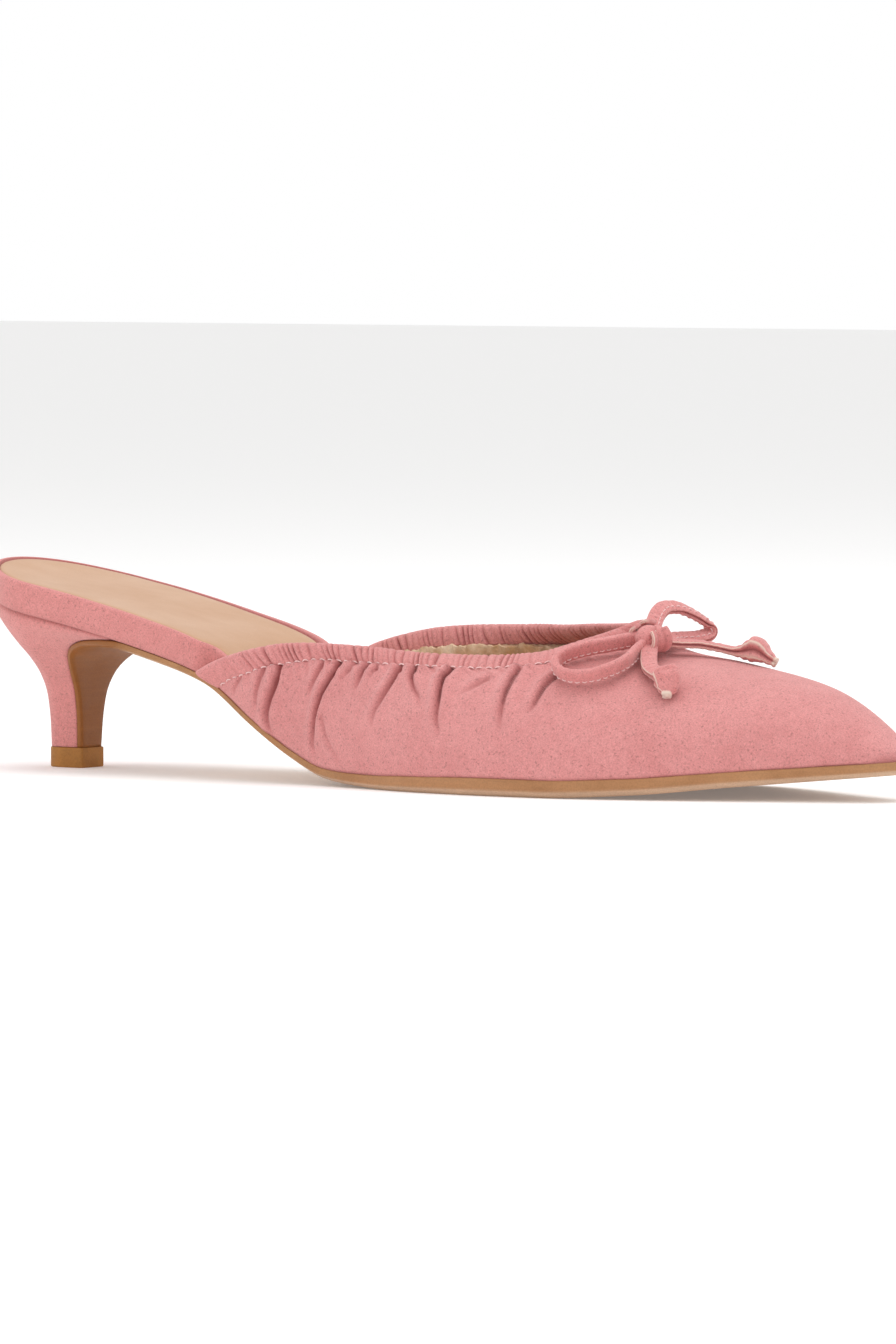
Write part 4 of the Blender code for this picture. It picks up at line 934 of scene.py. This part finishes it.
for level in levels:
    across = unit(seam_normal * (1.0 - level) + outward * level)
    middle = seam - across * WALL / 2 + (edge - seam + across * WALL / 2) * level
    round_top = math.sqrt(max(0.0, 1.0 - (max(0.0, level - 0.72) / 0.28) ** 2))
    thick = (WALL / 2 + full * smooth(swell_rows[:, 0], swell_rows[:, 1], np.array([level]))[0]) * round_top
    body = math.sin(math.pi * min(1.0, 0.12 + level * 0.80)) ** 0.5
    for way, store, store_shade in ((1.0, outside, outside_shade), (-1.0, inside, inside_shade)):
        ridge = np.abs(np.sin(phase + 0.5 * level * way + 0.35 * np.sin(run_mm * 0.7 + 3 * level))) ** 0.62
        dip = (1.0 - ridge) * gather * strength * body
        store.append(middle + across * (way * (thick + RUCHE_SWELL * gather - RUCHE_DEPTH * dip))[:, None])
        # Painted shade in the valleys between the ruches, as deep as each valley.
        store_shade.append(1.15 * dip)
top_wave = RUCHE_SWELL * gather * (np.abs(np.sin(phase + 0.4)) ** 0.6 - 0.6)
crown = edge + np.array([0.0, 0.0, 1.0]) * top_wave[:, None]
ring = np.stack(outside + [crown] + inside[::-1], axis=1)
ruche_shade = np.stack(outside_shade + [0.5 * outside_shade[-1]] + inside_shade[::-1], axis=1)
casing_suede = suede("rose_suede_casing", (0.725, 0.300, 0.290), (0.640, 0.238, 0.228), 0.9)
casing = tube("collar_casing_ruched", ring, [casing_suede], crease=np.clip(ruche_shade, 0.0, 1.0))
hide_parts("collar_casing")


# Seam thread
# Pale pink lockstitches that hold the casing to the upper, each drawn down a little into the nap.

def stitch_row(name, path, lift_way, side_way, length, thread, sag, finish, ends=0.0):
    """Row of short threads along a path: each a thin tube that arches out by lift_way and sags by side_way."""
    hop = np.concatenate([[0.0], np.cumsum(np.linalg.norm(np.diff(path, axis=0), axis=1))])
    count = int((hop[-1] - 2 * ends) / length)
    t = np.linspace(0.06, 0.90, 7)
    at = ends + (np.arange(count)[:, None] + t[None, :]) * length

    def read(values):
        return np.stack([np.interp(at, hop, values[:, k]) for k in range(3)], axis=-1)

    arch = np.sin((t - t[0]) / (t[-1] - t[0]) * math.pi)[None, :, None]
    up, aside = unit(read(lift_way)), unit(read(side_way))
    line = read(path) + up * thread * (1.1 * arch - 0.45) + aside * sag * arch
    ahead = unit(np.gradient(line, axis=1))
    wide = unit(np.cross(ahead, up))
    taper = np.sqrt(np.clip(1.0 - (2 * np.linspace(0.0, 1.0, 7) - 1) ** 6, 0.12, 1.0))
    thick = thread / 2 * taper[None, :, None, None]
    turn = np.linspace(0.0, 2 * math.pi, 6, endpoint=False)[None, None, :, None]
    rings = line[:, :, None] + thick * (np.cos(turn) * wide[:, :, None] + np.sin(turn) * up[:, :, None])
    faces = []
    for number in range(count):
        faces += tube_faces(7, 6, start=number * 42)
    return build(name, rings.reshape(count * 7, 6, 3), faces, [finish])


def thread_paint(name, colour):
    """Twisted polyester thread: fine diagonal lay and a low sheen."""
    paint = Paint(name, 0.6, Specular_IOR_Level=0.35, Sheen_Weight=0.2)
    lay = paint.noise(2500.0, 2.0)
    shade = paint.shade(paint.mix(0.0, colour, colour), paint.between(lay, 0.3, 0.7, 0.85, 1.08))
    return paint.finish(shade, ((lay, 0.4, 0.00008),))


pink_thread = thread_paint("pale_pink_thread", (0.90, 0.62, 0.60))
down_way = seam - edge
seam_thread = stitch_row("collar_seam_thread", seam + seam_normal * 0.06 * MM + unit(down_way) * 0.15 * MM,
                         seam_normal, down_way, 2.35 * MM, 0.30 * MM, -0.38 * MM, pink_thread, 1.0 * MM)


# Lining edge
# The lining's raw top edge stands free inside the collar, below the casing, with its row of stitches.

EDGE_STATIONS = 700
seam_i, edge_i, lift_i, side_i, _ = topline(EDGE_STATIONS)
index = np.linspace(0, STATIONS - 1, EDGE_STATIONS)
normal_i = unit(np.stack([np.interp(index, np.arange(STATIONS), seam_normal[:, k]) for k in range(3)], axis=-1))
mm_i = np.linspace(0.0, total_mm, EDGE_STATIONS)
ragged = 0.25 * np.sin(mm_i * 0.9) + 0.18 * np.sin(mm_i * 2.3 + 1.0) + 0.12 * np.sin(mm_i * 5.1 + 2.0)
flare = 0.35 + 0.25 * np.sin(mm_i * 0.55 + 0.6) + 0.15 * np.sin(mm_i * 1.9)
# The creases near the seam push the edge inwards.
pushed = np.interp(mm_i, seam_at / MM, -np.minimum(shift[-20:].min(axis=0), 0.0))
steps = np.array([0.0, 0.05, 0.12, 0.2, 0.32])
rows_out, rows_in = [], []
for step in steps:
    fall = last_point(seam_i[:, 0], side_i, np.clip(lift_i - step, 0.02, 1.0))
    if step == 0.0:
        fall = seam_i + unit(edge_i - seam_i) * ((0.3 + ragged) * MM)[:, None]
    away_in = (WALL + 0.15 * MM + pushed + flare * MM * max(0.0, 1.0 - step / 0.12))[:, None] * normal_i
    rows_out.append(fall - away_in)
    rows_in.append(fall - away_in - normal_i * 0.7 * MM)
lining_ring = np.stack(rows_out[::-1] + rows_in, axis=1)
raw_lining = lining_leather("raw_lining_edge", (0.86, 0.66, 0.48), (0.50, 0.28, 0.13))
lining_edge = tube("lining_raw_edge", lining_ring, [raw_lining])
brown_thread = thread_paint("brown_thread", (0.16, 0.075, 0.03))
lining_thread = stitch_row("lining_thread", rows_in[1] - normal_i * 0.05 * MM, -normal_i, seam_i - edge_i,
                           2.0 * MM, 0.45 * MM, 0.0, brown_thread, 3.0 * MM)


# Bow
# Folded strips of the suede, stitched along their raw edge and tied at the throat: two loops,
# two tails with a small end knot each, and the centre knot, which is tacked to the vamp.

RIBBON_WIDTH = 0.0040
RIBBON_THICKNESS = 0.0018
BOW_REACH = 0.0270
KNOT_SIZE = (0.0078, 0.0094, 0.0064)
# Rows of forward, across and lift above the vamp, in shares of the bow's reach.
NEAR_LOOP = np.array((
    (-0.09, -0.05, 0.150), (-0.19, -0.16, 0.125), (-0.26, -0.28, 0.122), (-0.36, -0.41, 0.120),
    (-0.45, -0.53, 0.118), (-0.51, -0.63, 0.122), (-0.52, -0.72, 0.132), (-0.46, -0.79, 0.140),
    (-0.37, -0.81, 0.138), (-0.27, -0.79, 0.136), (-0.17, -0.74, 0.136), (-0.08, -0.65, 0.134),
    (-0.01, -0.51, 0.122), (0.01, -0.36, 0.116), (-0.01, -0.25, 0.116), (-0.01, -0.08, 0.130)))
FAR_LOOP = np.array((
    (-0.05, 0.08, 0.190), (-0.10, 0.22, 0.250), (-0.12, 0.31, 0.301), (-0.12, 0.41, 0.339),
    (-0.08, 0.52, 0.353), (-0.01, 0.63, 0.338), (0.05, 0.74, 0.307), (0.09, 0.82, 0.266),
    (0.10, 0.81, 0.216), (0.08, 0.71, 0.155), (0.03, 0.59, 0.118), (-0.02, 0.46, 0.099),
    (-0.02, 0.33, 0.097), (-0.01, 0.10, 0.120)))
NEAR_TAIL = np.array((
    (0.03, -0.08, 0.130), (0.11, -0.22, 0.105), (0.16, -0.30, 0.092), (0.22, -0.37, 0.090),
    (0.32, -0.44, 0.108), (0.45, -0.49, 0.118), (0.50, -0.54, 0.112), (0.53, -0.61, 0.085)))
FAR_TAIL = np.array((
    (0.05, 0.10, 0.130), (0.18, 0.27, 0.110), (0.25, 0.36, 0.108), (0.34, 0.41, 0.100),
    (0.44, 0.45, 0.092), (0.55, 0.48, 0.084), (0.65, 0.51, 0.092), (0.74, 0.53, 0.106),
    (0.82, 0.55, 0.100), (0.91, 0.57, 0.080)))


def vamp_height(along, across):
    """Height of the plain upper over a point of the floor plan."""
    shift = RIDGE_SHIFT * smooth(CREST_SIDE[:, 0], CREST_SIDE[:, 1], along / LENGTH)
    side = np.where(across < shift, -1, 1)
    body = np.where(side < 0, half_width(along, -1, True), half_width(along, 1, True))
    share = np.clip((across - shift) / (side * body - shift), 0.0, 0.98)
    return base_height(along) + crest_rise(along) * np.sqrt(1.0 - share ** 2)


def vamp_upright(along, across):
    slope_along = (vamp_height(along + GAP, across) - vamp_height(along - GAP, across)) / (2 * GAP)
    slope_across = (vamp_height(along, across + GAP) - vamp_height(along, across - GAP)) / (2 * GAP)
    return unit(np.stack([-slope_along, -slope_across, np.ones_like(slope_along)], axis=-1))


knot_plan = np.array([LENGTH * 0.744, BALL_WIDTH / 2 * -0.180])
knot_centre = np.append(knot_plan, vamp_height(knot_plan[:1], knot_plan[1:])[0] + 0.0050)


def bow_run(table, count):
    """Smooth run of a strip over the vamp through its rows."""
    along = knot_centre[0] + table[:, 0] * BOW_REACH
    across = knot_centre[1] + table[:, 1] * BOW_REACH
    spots = np.stack([along, across, vamp_height(along, across) + table[:, 2] * BOW_REACH], axis=-1)
    chord = np.concatenate([[0.0], np.cumsum(np.linalg.norm(np.diff(spots, axis=0), axis=1))])
    at = np.linspace(0.0, chord[-1], count)
    path = np.stack([smooth(chord, spots[:, k], at) for k in range(3)], axis=-1)
    for _ in range(40):
        path[1:-1] = (path[:-2] + 2 * path[1:-1] + path[2:]) / 4
    return path


rose_strip = suede("rose_suede_strip", (0.735, 0.305, 0.295), (0.650, 0.240, 0.230), 0.8, (0.80, 0.66, 0.55))


def bow_strip(name, table, upright_of, wide_of=None, thick_of=None, raw_side=-1.0, stitched=True, cut=1.0):
    """Folded strip along a run: a rounded oblong section, its raw edge showing two cut layers."""
    count = 220
    path = bow_run(table, count)
    share = np.linspace(0.0, 1.0, count)
    ahead = unit(np.gradient(path, axis=0))
    upright = upright_of(path)
    width = unit(upright - ahead * np.sum(upright * ahead, axis=1, keepdims=True))
    flat = np.cross(ahead, width)
    turn = np.linspace(0.0, 2 * math.pi, 32, endpoint=False)
    a = np.sign(np.cos(turn)) * np.abs(np.cos(turn)) ** 0.55
    b = np.sign(np.sin(turn)) * np.abs(np.sin(turn)) ** 0.75
    wide = RIBBON_WIDTH / 2 * (wide_of(share) if wide_of else np.ones(count))
    thick = RIBBON_THICKNESS / 2 * (thick_of(share) if thick_of else np.ones(count))
    path = path + vamp_upright(path[:, 0], path[:, 1]) * (0.6 * (thick - RIBBON_THICKNESS / 2))[:, None]
    hop = np.cumsum(np.linalg.norm(np.gradient(path, axis=0), axis=1)) / MM
    ruffle = 1.0 + 0.10 * np.abs(np.sin(hop * 1.45)) + 0.04 * np.sin(hop * 3.7 + 1.0)
    slit = 1.0 - 0.55 * bell(b / 0.22) * (a * raw_side > 0.75)
    ring = (path[:, None] + width[:, None] * (wide[:, None] * a * slit)[..., None]
            + flat[:, None] * ((thick * ruffle)[:, None] * b)[..., None])
    layers = ease((a * raw_side - 0.80) / 0.12) * bell((np.abs(b) - 0.62) / 0.12)
    raw = cut * layers[None, :] * np.ones((count, 1))
    if not stitched:
        raw = np.maximum(raw, 0.9 * ease((share - 0.965) / 0.02)[:, None])
    # Painted shade in the slit between the two layers of the raw edge.
    piece = tube(name, ring, [rose_strip], raw=raw,
                 crease=(0.6 * bell(b / 0.2) * (a * raw_side > 0.8))[None, :] * np.ones((count, 1)))
    if stitched:
        for number, way in enumerate((1.0, -1.0)):
            line = (path + width * (wide * 0.42 * raw_side)[:, None]
                    + flat * (way * thick * ruffle * 0.97)[:, None])
            row = stitch_row(f"{name}_thread_{number}", line, flat * way, width * raw_side, 1.7 * MM, 0.26 * MM,
                             0.12 * MM, pink_thread, 2.2 * MM)
    return piece


def standing(lean):
    return lambda path: vamp_upright(path[:, 0], path[:, 1]) + np.array(lean)


def lying(path):
    return np.cross(vamp_upright(path[:, 0], path[:, 1]), np.gradient(path, axis=0))


def end_knot_wide(share):
    return 1.0 + 0.65 * bell((share - 0.80) / 0.11) - 0.45 * ease((share - 0.93) / 0.04)


def end_knot_thick(share):
    return 1.0 + 2.1 * bell((share - 0.80) / 0.11) + 0.1 * ease((share - 0.93) / 0.04)


near_loop = bow_strip("bow_loop_near_strip", NEAR_LOOP, standing((0.0, -0.10, 0.0)))
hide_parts("bow_loop_near")
far_loop = bow_strip("bow_loop_far_strip", FAR_LOOP, standing((-1.1, 0.0, -0.4)), cut=0.2)
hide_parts("bow_loop_far")
near_tail = bow_strip("bow_tail_near_strip", NEAR_TAIL, lying, end_knot_wide, end_knot_thick, stitched=False)
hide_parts("bow_tail_near")
far_tail = bow_strip("bow_tail_far_strip", FAR_TAIL, lying, end_knot_wide, end_knot_thick, -1.0, stitched=False)
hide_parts("bow_tail_far")


def wrap_band(name, centre, axis, side_axis, radius, wide, thick, start, stop, drift=0.0):
    """Strip wound round an axis: a flat section carried along an arc of an ellipse, with lifted edges."""
    count = 90
    turn = np.linspace(start, stop, count)
    up = np.cross(axis, side_axis)
    path = (centre + side_axis * (radius[0] * np.cos(turn))[:, None] + up * (radius[1] * np.sin(turn))[:, None]
            + axis * (drift * np.linspace(-0.5, 0.5, count))[:, None])
    ahead = unit(np.gradient(path, axis=0))
    off = unit(path - centre - axis * np.sum((path - centre) * axis, axis=1, keepdims=True))
    width = unit(np.cross(ahead, off))
    bend = np.linspace(0.0, 2 * math.pi, 28, endpoint=False)
    a = np.sign(np.cos(bend)) * np.abs(np.cos(bend)) ** 0.6
    b = np.sign(np.sin(bend)) * np.abs(np.sin(bend)) ** 0.8
    ruffle = 1.0 + 0.08 * np.sin(np.linspace(0.0, 9.0, count))
    ring = (path[:, None] + width[:, None] * ((wide / 2 * ruffle)[:, None] * a)[..., None]
            + off[:, None] * (thick / 2 * b * (1 + 0.25 * np.abs(a)))[None, :, None])
    raw = (ease((a - 0.84) / 0.1) * bell((np.abs(b) - 0.5) / 0.3))[None, :] * np.ones((count, 1))
    # Painted shade in a line down the middle of the band's outer face, as at a fold.
    piece = tube(name, ring, [rose_strip], raw=raw,
                 crease=(0.35 * bell(a / 0.10) * (b > 0))[None, :] * np.ones((count, 1)))
    return piece


pole = np.linspace(0.0, math.pi, 60)[:, None]
turn = np.linspace(0.0, 2 * math.pi, 80, endpoint=False)[None, :]
knot_up = vamp_upright(knot_plan[:1], knot_plan[1:])[0]
knot_side = unit(np.array([0.25, 1.0, 0.0]) - knot_up * (0.25 * knot_up[0] + knot_up[1]))
knot_ahead = np.cross(knot_side, knot_up)
fold = np.sin(pole) * (np.abs(np.sin(2.5 * (pole + 0.5 * np.sin(turn)) + turn)) ** 0.5 - 0.75)
size = np.array(KNOT_SIZE) / 2 * np.array([0.86, 0.94, 0.90])
shape = (np.cos(pole) * size[1])[..., None] * knot_side + (
    np.sin(pole) * np.cos(turn) * (size[0] + 0.55 * MM * fold))[..., None] * knot_ahead + (
    np.sin(pole) * np.sin(turn) * (size[2] + 0.55 * MM * fold))[..., None] * knot_up
# Painted shade in the valleys of the knot's folds.
knot = tube("bow_knot_core", knot_centre - knot_up * 0.3 * MM + shape, [rose_strip], first=False, last=False,
            raw=0.0, crease=np.clip(-1.2 * fold - 0.3, 0.0, 0.8))
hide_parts("bow_knot")
knot_axis = unit(knot_side + 0.30 * knot_ahead)
wrap_band("bow_knot_wrap", knot_centre + knot_side * 0.9 * MM, knot_axis, knot_ahead,
          (4.15 * MM, 3.45 * MM), 3.6 * MM, 1.1 * MM, -0.9, math.pi + 0.9, 1.2 * MM)
wrap_band("bow_knot_under_wrap", knot_centre - knot_side * 2.2 * MM,
          unit(knot_side - 0.35 * knot_ahead), knot_ahead, (3.75 * MM, 3.05 * MM), 2.8 * MM, 1.0 * MM,
          -0.8, math.pi + 0.8, -1.4 * MM)
